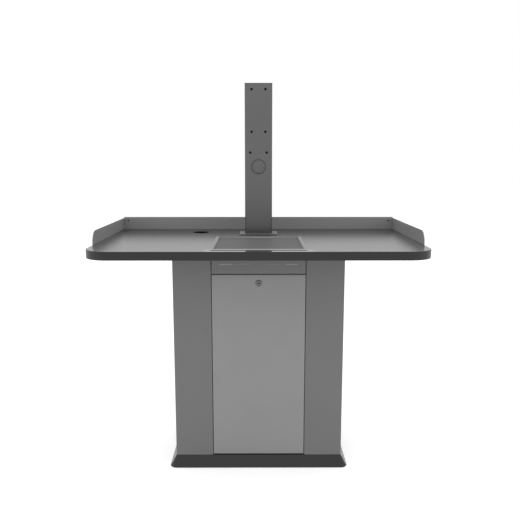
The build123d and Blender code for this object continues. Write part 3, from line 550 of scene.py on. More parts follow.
class Socket:
    """A shader value that can be used in arithmetic. Each operation adds its Math node."""

    def __init__(self, tree: "Tree", port: bpy.types.NodeSocket) -> None:
        """Wrap one output of a node."""
        self.tree = tree
        self.port = port

    def __add__(self, other: Value) -> "Socket":
        """self + other."""
        return self.tree.maths("ADD", self, other)

    def __radd__(self, other: Value) -> "Socket":
        """other + self."""
        return self.tree.maths("ADD", other, self)

    def __sub__(self, other: Value) -> "Socket":
        """self - other."""
        return self.tree.maths("SUBTRACT", self, other)

    def __rsub__(self, other: Value) -> "Socket":
        """other - self."""
        return self.tree.maths("SUBTRACT", other, self)

    def __mul__(self, other: Value) -> "Socket":
        """self * other."""
        return self.tree.maths("MULTIPLY", self, other)

    def __rmul__(self, other: Value) -> "Socket":
        """other * self."""
        return self.tree.maths("MULTIPLY", other, self)

    def ramp(self, low: Value, high: Value) -> "Socket":
        """0 below low and 1 above high, smooth between them."""
        inputs = {"Value": self, "From Min": low, "From Max": high}
        return self.tree.add("ShaderNodeMapRange", {"interpolation_type": "SMOOTHSTEP"}, inputs)["Result"]


class Added:
    """A node that was added, whose outputs are read by name."""

    def __init__(self, tree: "Tree", node: bpy.types.Node) -> None:
        """Wrap one node."""
        self.tree = tree
        self.node = node

    def __getitem__(self, name: Union[str, int]) -> Socket:
        """The output of that name or number."""
        return Socket(self.tree, Tree.port(self.node.outputs, name))


class Tree:
    """Writes one node tree."""

    def __init__(self, owner: Union[bpy.types.Material, bpy.types.World]) -> None:
        """Start from the emptied tree of a material or a world.

        Args:
            owner: the material or the world.
        """
        owner.use_nodes = True
        self.links, self.nodes = owner.node_tree.links, owner.node_tree.nodes
        self.nodes.clear()

    @functools.cached_property
    def where(self) -> Socket:
        """The object's own coordinates."""
        return self.add("ShaderNodeTexCoord")["Object"]

    @staticmethod
    def port(ports: Any, name: Union[str, int]) -> bpy.types.NodeSocket:
        """Find a socket.

        Args:
            ports: a node's inputs or outputs.
            name: the socket's number, identifier or name.

        Returns:
            The socket.
        """
        if isinstance(name, int):
            return ports[name]
        return next((port for port in ports if port.identifier == name), None) or ports[name]

    def add(
        self, kind: str, settings: Mapping[str, Any] = NOTHING, inputs: Mapping[Any, Any] = NOTHING
    ) -> Added:
        """Add one node: its settings first, then the values or links of its sockets.

        Args:
            kind: the node's type.
            settings: its properties.
            inputs: values, or sockets to link, by number, identifier or name.

        Returns:
            The node.
        """
        node = self.nodes.new(kind)
        for key, value in settings.items():
            setattr(node, key, value)
        for key, value in inputs.items():
            port = self.port(node.inputs, key)
            if isinstance(value, Socket):
                self.links.new(value.port, port)
            else:
                port.default_value = value
        return Added(self, node)

    def maths(self, operation: str, *values: Value) -> Socket:
        """The result of one Math node, with its inputs in order."""
        return self.add("ShaderNodeMath", {"operation": operation}, dict(enumerate(values)))["Value"]

    def vector(self, operation: str, first: Any, second: Any, output: str = "Value") -> Socket:
        """The result of one Vector Math node."""
        return self.add("ShaderNodeVectorMath", {"operation": operation}, {0: first, 1: second})[output]

    def axes(self) -> Added:
        """The X, Y and Z of the coordinates."""
        return self.add("ShaderNodeSeparateXYZ", {}, {"Vector": self.where})

    def stretched(self, scale: Point) -> Socket:
        """The coordinates with each axis scaled on its own."""
        return self.add("ShaderNodeMapping", {}, {"Vector": self.where, "Scale": scale})["Vector"]

    def noise(
        self, scale: float, detail: float = 2, rough: float = 0.5, where: Optional[Socket] = None
    ) -> Socket:
        """Noise from 0 to 1 with features about 1 / scale metres across."""
        inputs = {"Vector": where or self.where, "Scale": scale, "Detail": detail, "Roughness": rough}
        return self.add("ShaderNodeTexNoise", {}, inputs)["Fac"]

    def streaks(self, scale: Point, detail: float = 2, rough: float = 0.5) -> Socket:
        """Noise from 0 to 1 whose features are about 1 / scale metres along each axis."""
        return self.noise(1.0, detail, rough, self.stretched(scale))

    def cells(self, scale: float, feature: str = "F1", where: Optional[Socket] = None) -> Added:
        """Cells about 1 / scale metres across."""
        inputs = {"Vector": where or self.where, "Scale": scale}
        return self.add("ShaderNodeTexVoronoi", {"feature": feature}, inputs)

    def channel(self, colour: Socket, name: str) -> Socket:
        """One channel of a colour."""
        return self.add("ShaderNodeSeparateColor", {}, {"Color": colour})[name]

    def mixed(self, share: Value, first: Any, second: Any) -> Socket:
        """A colour between two, at a share of the second."""
        inputs = {"Factor_Float": share, "A_Color": first, "B_Color": second}
        return self.add("ShaderNodeMix", {"data_type": "RGBA"}, inputs)["Result_Color"]

    def varied(self, share: Value, tone: float, low: float, high: float) -> Socket:
        """A grey between two multiples of a tone."""
        return self.mixed(share, grey(tone * low), grey(tone * high))

    def relief(self, strength: float, distance: float, height: Socket) -> Socket:
        """The normal that a height gives the surface."""
        inputs = {"Strength": strength, "Distance": distance, "Height": height}
        return self.add("ShaderNodeBump", {}, inputs)["Normal"]

    def edges(self, radius: float) -> Socket:
        """How sharply the surface turns nearby.

        Args:
            radius: how far round each point the surface is looked at.

        Returns:
            1 less the cosine between the surface's own and its rounded normal.
        """
        rounded = self.add("ShaderNodeBevel", {"samples": 4}, {"Radius": radius})["Normal"]
        own = self.add("ShaderNodeNewGeometry")["Normal"]
        return 1.0 - self.vector("DOT_PRODUCT", rounded, own)

    def seen(self, *kinds: str) -> Socket:
        """1 for rays of any of these kinds of the Light Path node, else 0."""
        path = self.add("ShaderNodeLightPath")
        return functools.reduce(lambda a, b: self.maths("MAXIMUM", a, b), [path[kind] for kind in kinds])


# Tone of black paint, and the width over which a painted edge fades
BLACK = 0.001
BLUR = 0.0003


def grey(level: float) -> tuple[float, float, float, float]:
    """A neutral colour of one linear level."""
    return (level, level, level, 1.0)


@dataclass(frozen=True)
class Finish:
    """What every finish has: a name, its looks and a way to make the material."""

    name: str

    def shade(self, tree: Tree) -> Mapping[str, Any]:
        """Inputs of the shader. Each finish gives its own."""
        raise NotImplementedError

    def material(self) -> bpy.types.Material:
        """Make the material.

        Returns:
            A material with one Principled shader whose inputs come from shade.
        """
        made = bpy.data.materials.new(self.name)
        tree = Tree(made)
        shader = tree.add("ShaderNodeBsdfPrincipled", {}, self.shade(tree))["BSDF"]
        tree.add("ShaderNodeOutputMaterial", {}, {"Surface": shader})
        return made


@dataclass(frozen=True)
class PowderCoat(Finish):
    """Fine-texture powder coat: small orange peel, slight mottle, thin pale wear on edges and rubs."""

    tone: float = 0.11
    roughness: float = 0.45
    worn: float = 0.3
    wear: float = 0.35
    gloss: float = 0.5
    flake: float = 0.0
    painted_light_bands: tuple[tuple[str, float, float, float, float], ...] = ()

    def shade(self, tree: Tree) -> Mapping[str, Any]:
        """Peel and grain give the relief, mottle and worn edges the tone.

        Each band paints light or shade by place. It gives an axis, the place where it starts, the place where
        it is full, its tone and its share. The bands paint shade low on the mast, along the flange's front,
        on the rim's front face and rear and on the pocket's rear wall. They paint highlights on the fascia's
        bead crests and the rim's front.

        Args:
            tree: the material's nodes.

        Returns:
            The shader's inputs.
        """
        grain = tree.noise(1400, 2)
        peel = tree.noise(320, 1)
        mottle = tree.noise(7, 5, 0.6)
        patches = tree.noise(55, 3, 0.65)
        worn = tree.edges(0.0012).ramp(0.03, 0.28) * patches.ramp(0.42, 0.62) * self.wear
        rubbed = tree.streaks((9, 9, 60), 4, 0.7).ramp(0.66, 0.8) * 0.25
        body = tree.varied(mottle, self.tone, 0.93, 1.07)
        body = tree.mixed(rubbed, body, grey(self.tone * 1.22))
        place = tree.axes()
        # Painted light and shade: each band mixes a lighter or darker grey into the colour by place.
        for axis, start, full, tone, share in self.painted_light_bands:
            body = tree.mixed(place[axis].ramp(start, full) * share, body, grey(tone))
        return {
            "Base Color": tree.mixed(worn, body, grey(self.worn)),
            "Metallic": self.flake,
            "Roughness": self.roughness + (mottle - 0.5) * 0.12 + (grain - 0.5) * 0.08 - rubbed * 0.3,
            "Specular IOR Level": self.gloss,
            "Normal": tree.relief(0.7, 0.00012, grain * 0.45 + peel * 0.55),
        }


@dataclass(frozen=True)
class Laminate(Finish):
    """Satin high-pressure laminate: pearl grain, wiping marks and a few fine scratches."""

    tone: float = 0.03
    roughness: float = 0.25
    gloss: float = 0.5
    grain: float = 0.00003
    polished: float = 0.0
    polished_y: tuple[float, float] = (-0.284, -0.266)
    polished_x: tuple[float, float] = (0.15, 0.18)
    hole_at: Optional[Point] = None
    hole_edge: float = 0.0322

    def shade(self, tree: Tree) -> Mapping[str, Any]:
        """Pearl grain gives the relief, and wipes, scratches and use near the customer the gloss.

        Args:
            tree: the material's nodes.

        Returns:
            The shader's inputs.
        """
        place = tree.axes()
        aside = tree.maths("ABSOLUTE", place["X"]).ramp(*self.polished_x)
        dull = tree.maths("MAXIMUM", aside, place["Y"].ramp(*self.polished_y))
        pearl = tree.noise(1900, 2, 0.55)
        cloud = tree.noise(5, 5, 0.6)
        wipes = tree.streaks((4, 26, 1), 4, 0.65)
        scratch_x = tree.streaks((7, 900, 1), 2, 0.6).ramp(0.74, 0.8)
        scratch_y = tree.streaks((760, 9, 1), 2, 0.6).ramp(0.76, 0.82)
        scratch = scratch_x + scratch_y
        tint = tree.varied(cloud, self.tone, 0.85, 1.15)
        tint = tree.mixed(scratch * 0.3, tint, grey(self.tone * 2.2))
        if self.hole_at:
            off = tree.vector("DISTANCE", tree.where, self.hole_at)
            tint = tree.mixed(1.0 - off.ramp(self.hole_edge - BLUR, self.hole_edge), tint, grey(BLACK))
        return {
            "Base Color": tint,
            "Roughness": self.roughness - (1.0 - dull) * self.polished + (wipes - 0.5) * 0.06 + scratch * 0.1,
            "Specular IOR Level": self.gloss,
            "Normal": tree.relief(0.5, self.grain, pearl - scratch * 0.4),
        }


@dataclass(frozen=True)
class Plastic(Finish):
    """Moulded plastic or edge band: spark-eroded grain, faint flow lines and rubbed edges."""

    tone: float = 0.03
    roughness: float = 0.42
    grain: float = 0.00005
    worn: float = 0.12
    gloss: float = 0.5
    flow: Point = (30, 30, 4)

    def shade(self, tree: Tree) -> Mapping[str, Any]:
        """Grain gives the relief, flow lines and edges the tone.

        Args:
            tree: the material's nodes.

        Returns:
            The shader's inputs.
        """
        flow = tree.streaks(self.flow, 4, 0.6)
        scuffs = tree.noise(90, 4, 0.7).ramp(0.6, 0.75)
        worn = tree.edges(0.0007).ramp(0.04, 0.3) * scuffs * 0.5
        return {
            "Base Color": tree.mixed(worn, tree.varied(flow, self.tone, 0.88, 1.12), grey(self.worn)),
            "Roughness": self.roughness + (flow - 0.5) * 0.12 + scuffs * 0.08,
            "Specular IOR Level": self.gloss,
            "Normal": tree.relief(0.6, self.grain, tree.noise(2600, 2)),
        }


@dataclass(frozen=True)
class Rubber(Finish):
    """Black rubber with a dull bloom and dust in its low places."""

    tone: float = 0.018
    bloom: float = 0.07

    def shade(self, tree: Tree) -> Mapping[str, Any]:
        """Bloom lies in soft patches, and a fine pitted skin gives the relief.

        Args:
            tree: the material's nodes.

        Returns:
            The shader's inputs.
        """
        bloom = tree.noise(70, 5, 0.65)
        return {
            "Base Color": tree.mixed(bloom.ramp(0.45, 0.75) * 0.6, grey(self.tone), grey(self.bloom)),
            "Roughness": 0.78 + (bloom - 0.5) * 0.2,
            "Specular IOR Level": 0.35,
            "Normal": tree.relief(0.7, 0.00012, tree.noise(1600, 3, 0.6)),
        }


@dataclass(frozen=True)
class Plated(Finish):
    """Plated metal: crystal patches, turning marks and duller spots."""

    tone: float = 0.55
    roughness: float = 0.3
    spangle: float = 260.0
    marks: Point = (2000, 2000, 60)

    def shade(self, tree: Tree) -> Mapping[str, Any]:
        """Crystals change the tone, marks and spots the gloss.

        Args:
            tree: the material's nodes.

        Returns:
            The shader's inputs.
        """
        split = tree.channel(tree.cells(self.spangle)["Color"], "Red")
        marks = tree.streaks(self.marks)
        dull = tree.noise(120, 4, 0.65).ramp(0.5, 0.75)
        return {
            "Base Color": tree.varied(split, self.tone, 0.88, 1.08),
            "Metallic": 1.0,
            "Roughness": self.roughness + (split - 0.5) * 0.08 + (marks - 0.5) * 0.1 + dull * 0.15,
            "Normal": tree.relief(0.4, 0.00002, marks),
        }


@dataclass(frozen=True)
class Chipboard(Finish):
    """Raw cut chipboard: wood flakes of several tones with dark gaps between them."""

    pale: tuple[float, float, float] = (0.52, 0.38, 0.23)
    brown: tuple[float, float, float] = (0.24, 0.15, 0.08)
    gap: tuple[float, float, float] = (0.09, 0.055, 0.03)
    sealed_at: Point = (-0.221, 0.192, 0.0)
    sealed_radius: float = 0.0312
    backed_below: float = 0.8034
    backing: float = 0.02

    def shade(self, tree: Tree) -> Mapping[str, Any]:
        """Flakes are stretched cells with sunk rims. The cable hole is painted and the underside backed.

        Args:
            tree: the material's nodes.

        Returns:
            The shader's inputs.
        """
        spread = tree.stretched((260, 260, 620))
        rims = tree.cells(1.0, "DISTANCE_TO_EDGE", spread)["Distance"]
        tone = tree.channel(tree.cells(1.0, "F1", spread)["Color"], "Green")
        fibre = tree.streaks((300, 300, 2500), 3, 0.6)
        colour = tree.mixed(tone * 0.7 + fibre * 0.3, (*self.brown, 1.0), (*self.pale, 1.0))
        colour = tree.mixed((1.0 - rims.ramp(0.0, 0.12)) * 0.6, colour, (*self.gap, 1.0))
        flat = tree.vector("MULTIPLY", tree.where, (1, 1, 0), "Vector")
        off = tree.vector("DISTANCE", flat, self.sealed_at)
        painted = 1.0 - off.ramp(self.sealed_radius - 0.0006, self.sealed_radius + fibre * 0.0012)
        raw = tree.axes()["Z"].ramp(self.backed_below - 0.0002, self.backed_below)
        colour = tree.mixed(raw, grey(self.backing), colour)
        return {
            "Base Color": tree.mixed(painted, colour, grey(BLACK)),
            "Roughness": 0.82 + (fibre - 0.5) * 0.2,
            "Specular IOR Level": 0.03,
            "Normal": tree.relief(0.8, 0.0003, rims.ramp(0.0, 0.3) * raw),
        }


# Painted light on the recess rim: a painted highlight on its front, and painted shade on its front face and
# its rear.
RIM_PAINTED_LIGHT = (
    ("Y", -0.2635, -0.2665, 0.52, 1.0),
    ("Y", -0.2783, -0.279, 0.2, 1.0),
    ("Y", 0.046, 0.049, 0.155, 1.0),
)


class Surface(Enum):
    """The stand's finishes."""

    GREY_COAT = PowderCoat("fine_grey_coat", tone=0.142)
    # The fascia's band paints a highlight on the beads' crests, paler where the sheet stands proud.
    FASCIA_COAT = PowderCoat("fascia_grey_coat", tone=0.145, painted_light_bands=(("Y", -0.05202, -0.0523, 0.3, 1.0),))
    # The lips' coat is the grey coat painted paler, to lift the shade that the dark worktop puts on them.
    LIP_COAT_PAINTED_LIGHTER = PowderCoat("lip_coat_painted_lighter", tone=0.243)
    # The mast's band paints shade, darkening it towards its foot on the worktop.
    MAST_COAT = PowderCoat(
        "mast_flake_coat", tone=0.122, flake=0.45, roughness=0.38, painted_light_bands=(("Z", 0.868, 0.834, 0.01, 0.5),)
    )
    # The flange's band paints shade along its front edge, in front of the mast.
    FLANGE_COAT = PowderCoat(
        "flange_flake_coat", tone=0.175, flake=0.45, roughness=0.38, painted_light_bands=(("Y", 0.1032, 0.1022, 0.12, 1.0),)
    )
    RIM_COAT = PowderCoat("rim_pale_coat", tone=0.32, worn=0.4, gloss=0.05, painted_light_bands=RIM_PAINTED_LIGHT)
    # The pocket's wall is painted paler than the rim to lift the shade in the pocket, and its band paints
    # shade on the rear wall.
    WALL_COAT_PAINTED_LIGHT = PowderCoat(
        "pocket_coat_painted_light", tone=0.48, worn=0.5, gloss=0.3, painted_light_bands=(("Y", 0.046, 0.0475, 0.33, 1.0),)
    )
    DOOR_COAT = PowderCoat("door_light_coat", tone=0.24, worn=0.4)
    PLINTH_COAT = PowderCoat("plinth_black_coat", tone=0.013, worn=0.1, roughness=0.24, gloss=0.45)
    TOP_LAMINATE = Laminate(
        "top_laminate",
        tone=0.035,
        roughness=0.225,
        gloss=0.765,
        polished=0.125,
        hole_at=(-0.2195, 0.193, 0.84),
    )
    PLATE_LAMINATE = Laminate("plate_laminate", tone=0.145, roughness=0.6, gloss=0.1)
    BLACK_BAND = Plastic("black_band", tone=0.01, roughness=0.36, gloss=0.4, flow=(3, 3, 300))
    BOARD = Chipboard("cut_chipboard")
    ZINC = Plated("bright_zinc")
    BLACK_ZINC = Plated("black_zinc", tone=0.035, roughness=0.42)
    NICKEL = Plated("satin_nickel", tone=0.16, roughness=0.34, spangle=900.0)
    BLACK_RUBBER = Rubber("moulded_rubber")
    NYLON = Plastic("moulded_nylon", tone=0.02, roughness=0.5)
    GREY_PLASTIC = Plastic("moulded_grey_plastic", tone=0.106, roughness=0.5, worn=0.25)
    # The ring's dark tone paints the shadow line round the grommet's lid.
    RING_PLASTIC_PAINTED_SHADE = Plastic("grommet_ring_painted_shade", tone=0.06, roughness=0.5, worn=0.12)

    @functools.cache
    def made(self) -> bpy.types.Material:
        """The material, made once."""
        return self.value.material()


# Finished pieces


def placed(name: str, data: Any) -> bpy.types.Object:
    """A new object in the scene, at its origin.

    Args:
        name: the object's name.
        data: its mesh, lamp or camera.

    Returns:
        The object.
    """
    made = bpy.data.objects.new(name, data)
    bpy.context.scene.collection.objects.link(made)
    return made


class Body(Enum):
    """The CAD bodies that pieces ride on."""

    STAND = "stand"
    DOOR = "door"
    LOCK = "lock"


def piece(
    name: str,
    patch: Patch,
    surface: Surface,
    body: str = Body.STAND.value,
    stands_for: Sequence[str] = (),
) -> bpy.types.Object:
    """Make one finished piece at the origin, with its place in its mesh.

    Seams and poles are merged, then the normals are turned outwards.

    Args:
        name: the piece's name.
        patch: its surface in the CAD frame.
        surface: its finish.
        body: the CAD body that it rides on.
        stands_for: CAD nodes that it replaces.

    Returns:
        The object.
    """
    mesh = bpy.data.meshes.new(name)
    mesh.from_pydata(patch.points.tolist(), [], patch.quads.tolist())
    work = bmesh.new()
    work.from_mesh(mesh)
    bmesh.ops.remove_doubles(work, verts=work.verts, dist=MERGE)
    bmesh.ops.dissolve_degenerate(work, edges=work.edges, dist=MERGE)
    bmesh.ops.recalc_face_normals(work, faces=work.faces)
    for face in work.faces:
        face.smooth = True
    work.to_mesh(mesh)
    work.free()
    mesh.set_sharp_from_angle(angle=SMOOTH)
    mesh.materials.append(surface.made())
    made = placed(name, mesh)
    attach(made, body)
    if stands_for:
        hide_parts(*stands_for)
    log.info("%s: %d faces on %s", name, len(mesh.polygons), body)
    return made


@dataclass(frozen=True)
class Dressing:
    """How a carried-over CAD node is finished: its surface, and the width its edges are softened by."""

    surface: Surface
    soften: float = 0.0

    def put_on(self, node: str) -> None:
        """Give the node its material, and soften its edges with modifiers.

        Args:
            node: name of the CAD node.
        """
        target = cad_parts[node]
        target.data.materials.clear()
        target.data.materials.append(self.surface.made())
        if self.soften:
            weld = target.modifiers.new("weld", "WELD")
            weld.merge_threshold = MERGE
            bevel = target.modifiers.new("soft_edges", "BEVEL")
            bevel.width = self.soften
            bevel.segments = 2
            bevel.limit_method = "ANGLE"
            bevel.angle_limit = SOFTENED
            bevel.loop_slide = False
        log.info("%s: %s", node, self.surface.value.name)


# Hardware


@dataclass(frozen=True)
class Screw:
    """A screw: head radius and height, thread radius and pitch, and the recess that drives it."""

    head_radius: float
    head_height: float
    shank_radius: float
    pitch: float
    drive: Outline = Outline.LOBES
    countersunk: bool = False

    def patch(self, length: float) -> Patch:
        """Hang the screw from z = 0, with its head's top or its countersunk head's face there.

        Args:
            length: from z = 0 down to the tip.

        Returns:
            The surface.
        """
        r, h, s, drive = self.head_radius, self.head_height, self.shank_radius, self.drive
        socket, seat, hexagon = 0.42 * r, 0.0, Outline.HEXAGON
        drop = 0.0 if self.countersunk else h
        length -= drop
        if self.countersunk:
            seat = s - r
            head = rings(
                (0, -0.42 * r), (socket * 0.92, -0.42 * r, drive), (socket, -0.02 * r, drive),
                (socket * 1.25, 0), (r * 0.97, 0), (r, -0.04 * r), (s, seat),
            )
        elif drive is hexagon:
            flat = r * math.cos(math.pi / 6)
            head = rings(
                (0, h * 0.94), (flat * 0.7, h * 0.96), (flat * 0.95, h),
                (flat, h * 0.86, hexagon), (flat, 0, hexagon), (s, 0),
            )
        else:
            head = rings(
                (0, 0.35 * h), (socket * 0.92, 0.35 * h, drive), (socket, 0.97 * h, drive), (socket * 1.3, h),
                (0.72 * r, 0.94 * h), (0.9 * r, 0.7 * h), (r, 0.3 * h), (r, 0.04 * h), (0.97 * r, 0), (s, 0),
            )
        tip = rings((s, self.pitch - length), (0.6 * s, -length), (0, -length))
        body = thread(s, self.pitch, 0.12 * s, seat, self.pitch - length, per_turn=5)
        return Patch.joined([stack(head, TINY), body, stack(tip, TINY)]).at(Place((0.0, 0.0, -drop)))


@dataclass(frozen=True)
class Nut:
    """A hexagon nut with chamfered corners and a countersunk bore: half its width and its bore."""

    flat: float
    bore: float

    def patch(self, height: float) -> Patch:
        """Stand the nut on z = 0.

        Args:
            height: its height.

        Returns:
            The surface.
        """
        flat, bore, bevel, hexagon = self.flat, self.bore, 0.06 * self.flat, Outline.HEXAGON
        lead = 0.5 * bevel
        section = rings(
            (bore, lead), (bore + lead, 0), (flat * 0.97, 0), (flat, bevel, hexagon),
            (flat, height - bevel, hexagon), (flat * 0.97, height), (bore + lead, height),
            (bore, height - lead),
        )
        return stack(section, closed=True)


def at_each(
    node: str,
    make: Callable[[float], Patch],
    facing: Optional[Facing] = None,
    from_face: bool = True,
    level: Optional[Callable[[float], Patch]] = None,
) -> Patch:
    """A shape in the place of each solid of a node, on the middle line of the solid's box.

    With no facing given, a shape faces along its box's longest side: down, or outwards at the front,
    the rear or either side.

    Args:
        node: CAD node whose solids are plain copies of the shape.
        make: gives the shape for the box's length along the facing.
        facing: the way that the shapes face.
        from_face: whether z = 0 is the end of the box that the shape faces, or else the other end.
        level: takes the place of make where the shape doesn't face down.

    Returns:
        The surface of all the shapes.
    """
    patches = []
    for low, high in solids_of(node):
        size, centre = high - low, (low + high) / 2
        ways = (
            Facing.LEFT if centre[0] < 0 else Facing.RIGHT,
            Facing.REAR if centre[1] > 0 else Facing.FRONT,
            Facing.DOWN,
        )
        way = facing or ways[int(size.argmax())]
        normal = np.array(way.value[2])
        length = abs(size @ normal)
        origin = centre + normal * (length / 2 if from_face else -length / 2)
        chosen = make if level is None or way is Facing.DOWN else level
        patches.append(chosen(length).at(Place(tuple(origin), way)))
    return Patch.joined(patches)


# Sub-assemblies


@dataclass
class Plinth:
    """Black flared skirt, and the levelling feet under it."""

    sheet: float = 0.002
    bend: float = 0.002
    hem: float = 0.0016
    flange: float = 0.040
    floor_corner: float = 0.024
    top_corner: float = 0.003
    least_corner: float = 0.0004
    straight: tuple[float, float] = (0.12, 0.9)
    pad_boss: float = 0.0062
    boss_depth: float = 0.005
    head_radius: float = 0.0058
    stem_radius: float = 0.005
    stem_pitch: float = 0.0015
    stem_flat: float = 0.007
    stem_hex_height: float = 0.006
    nut_flat: float = 0.0085

    def skirt(self) -> None:
        """The skirt: courses down its flared outside, round its rolled hem and up its inside."""
        low, high = box_of("plinth_skirt")
        column_low, _ = box_of("left_column")
        rear = box_of("rear_panel")[1][1]
        centre_y = (low[1] + high[1]) / 2
        floor = (high[:2] - low[:2]) / 2
        top = np.array([-column_low[0], (rear - column_low[1]) / 2])
        flare = floor[0] - top[0]
        rise = high[2] - low[2]

        def course(out: float, height: float) -> Course:
            """The rounded rectangle at a distance outside the cabinet's footprint.

            Args:
                out: the distance.
                height: the rectangle's height.

            Returns:
                The course.
            """
            corner = self.top_corner + (self.floor_corner - self.top_corner) * min(max(out / flare, 0), 1)
            corner = max(corner + min(out, 0), self.least_corner)
            return Course(top[0] + out, top[1] + out, corner, height, centre_y)

        def wall(share: float, inset: float) -> tuple[float, float]:
            """A point of the wall at a share of its height from the top, inset by a distance."""
            return flare * share - inset, high[2] - rise * share

        bend, hem = self.bend, self.hem
        turn = np.linspace(0, QUARTER, 5)
        shoulder = [(-bend * (1 - math.sin(t)), high[2] - bend * (1 - math.cos(t))) for t in turn]
        centre_out, centre_height = flare - hem, low[2] + hem
        half_turn = np.linspace(0, math.pi, 7)
        rolled = [(centre_out + hem * math.cos(t), centre_height - hem * math.sin(t)) for t in half_turn]
        shares = np.linspace(*self.straight, 6)
        outside = [wall(share, 0.0) for share in shares]
        inside = [wall(share, self.sheet) for share in shares[::-1]]
        section = [(-self.flange, high[2]), *shoulder, *outside, *rolled, *inside]
        section += [(-self.sheet, high[2] - self.sheet), (-self.flange, high[2] - self.sheet)]
        patch = swept_frame([course(out, height) for out, height in section], arc_steps=10)
        name = "plinth_skirt_pressed"
        piece(name, patch, Surface.PLINTH_COAT, stands_for=["plinth_skirt"])

    def feet(self) -> None:
        """Ribbed pads, and stems with a hexagon and a running thread."""
        hexagon, ribs = Outline.HEXAGON, Outline.RIBS
        flat, rod = self.stem_flat, self.stem_radius
        for name in ("front_left", "front_right", "rear_left", "rear_right"):
            pad, stem, body = f"foot_pad_{name}", f"foot_stem_{name}", f"foot_{name}"
            low, high = box_of(pad)
            x, y, _ = (low + high) / 2
            r, h = (high[0] - low[0]) / 2, high[2]
            place = Place((x, y, 0.0))
            section = rings(
                (0, 0.0009), (0.5 * r, 0.0009), (0.55 * r, 0), (0.92 * r, 0), (0.975 * r, 0.001),
                (0.975 * r, 0.0016, ribs), (0.975 * r, 0.5 * h, ribs), (0.93 * r, 0.62 * h),
                (0.8 * r, 0.8 * h), (0.55 * r, 0.93 * h), (0.36 * r, h), (self.pad_boss, h),
                (self.pad_boss, 0.5 * h), (0, 0.5 * h),
            )
            patch = stack(section, FINE).at(place)
            piece(f"{pad}_moulded", patch, Surface.BLACK_RUBBER, body, [pad])
            end, foot, shoulder = box_of(stem)[1][2], h - self.boss_depth, h + self.stem_hex_height
            head = rings(
                (0, foot), (self.head_radius, foot), (self.head_radius, h), (flat * 0.96, h),
                (flat, h + 0.0005, hexagon), (flat, shoulder - 0.0005, hexagon), (flat * 0.96, shoulder),
                (rod, shoulder),
            )
            run = thread(rod, self.stem_pitch, self.stem_pitch / 2, shoulder, end - 0.001)
            tip = rings((rod, end - 0.001), (rod - 0.001, end), (0, end))
            patch = Patch.joined([stack(head, TINY), run, stack(tip, TINY)]).at(place)
            piece(f"{stem}_threaded", patch, Surface.ZINC, body, [stem])

    def build(self) -> None:
        """Make the skirt, the feet and their nuts."""
        self.skirt()
        self.feet()
        nut = Nut(self.nut_flat, self.stem_radius + PLAY)
        nuts = at_each("foot_nuts", nut.patch, Facing.UP, from_face=False)
        piece("foot_nuts_chamfered", nuts, Surface.ZINC, stands_for=["foot_nuts"])


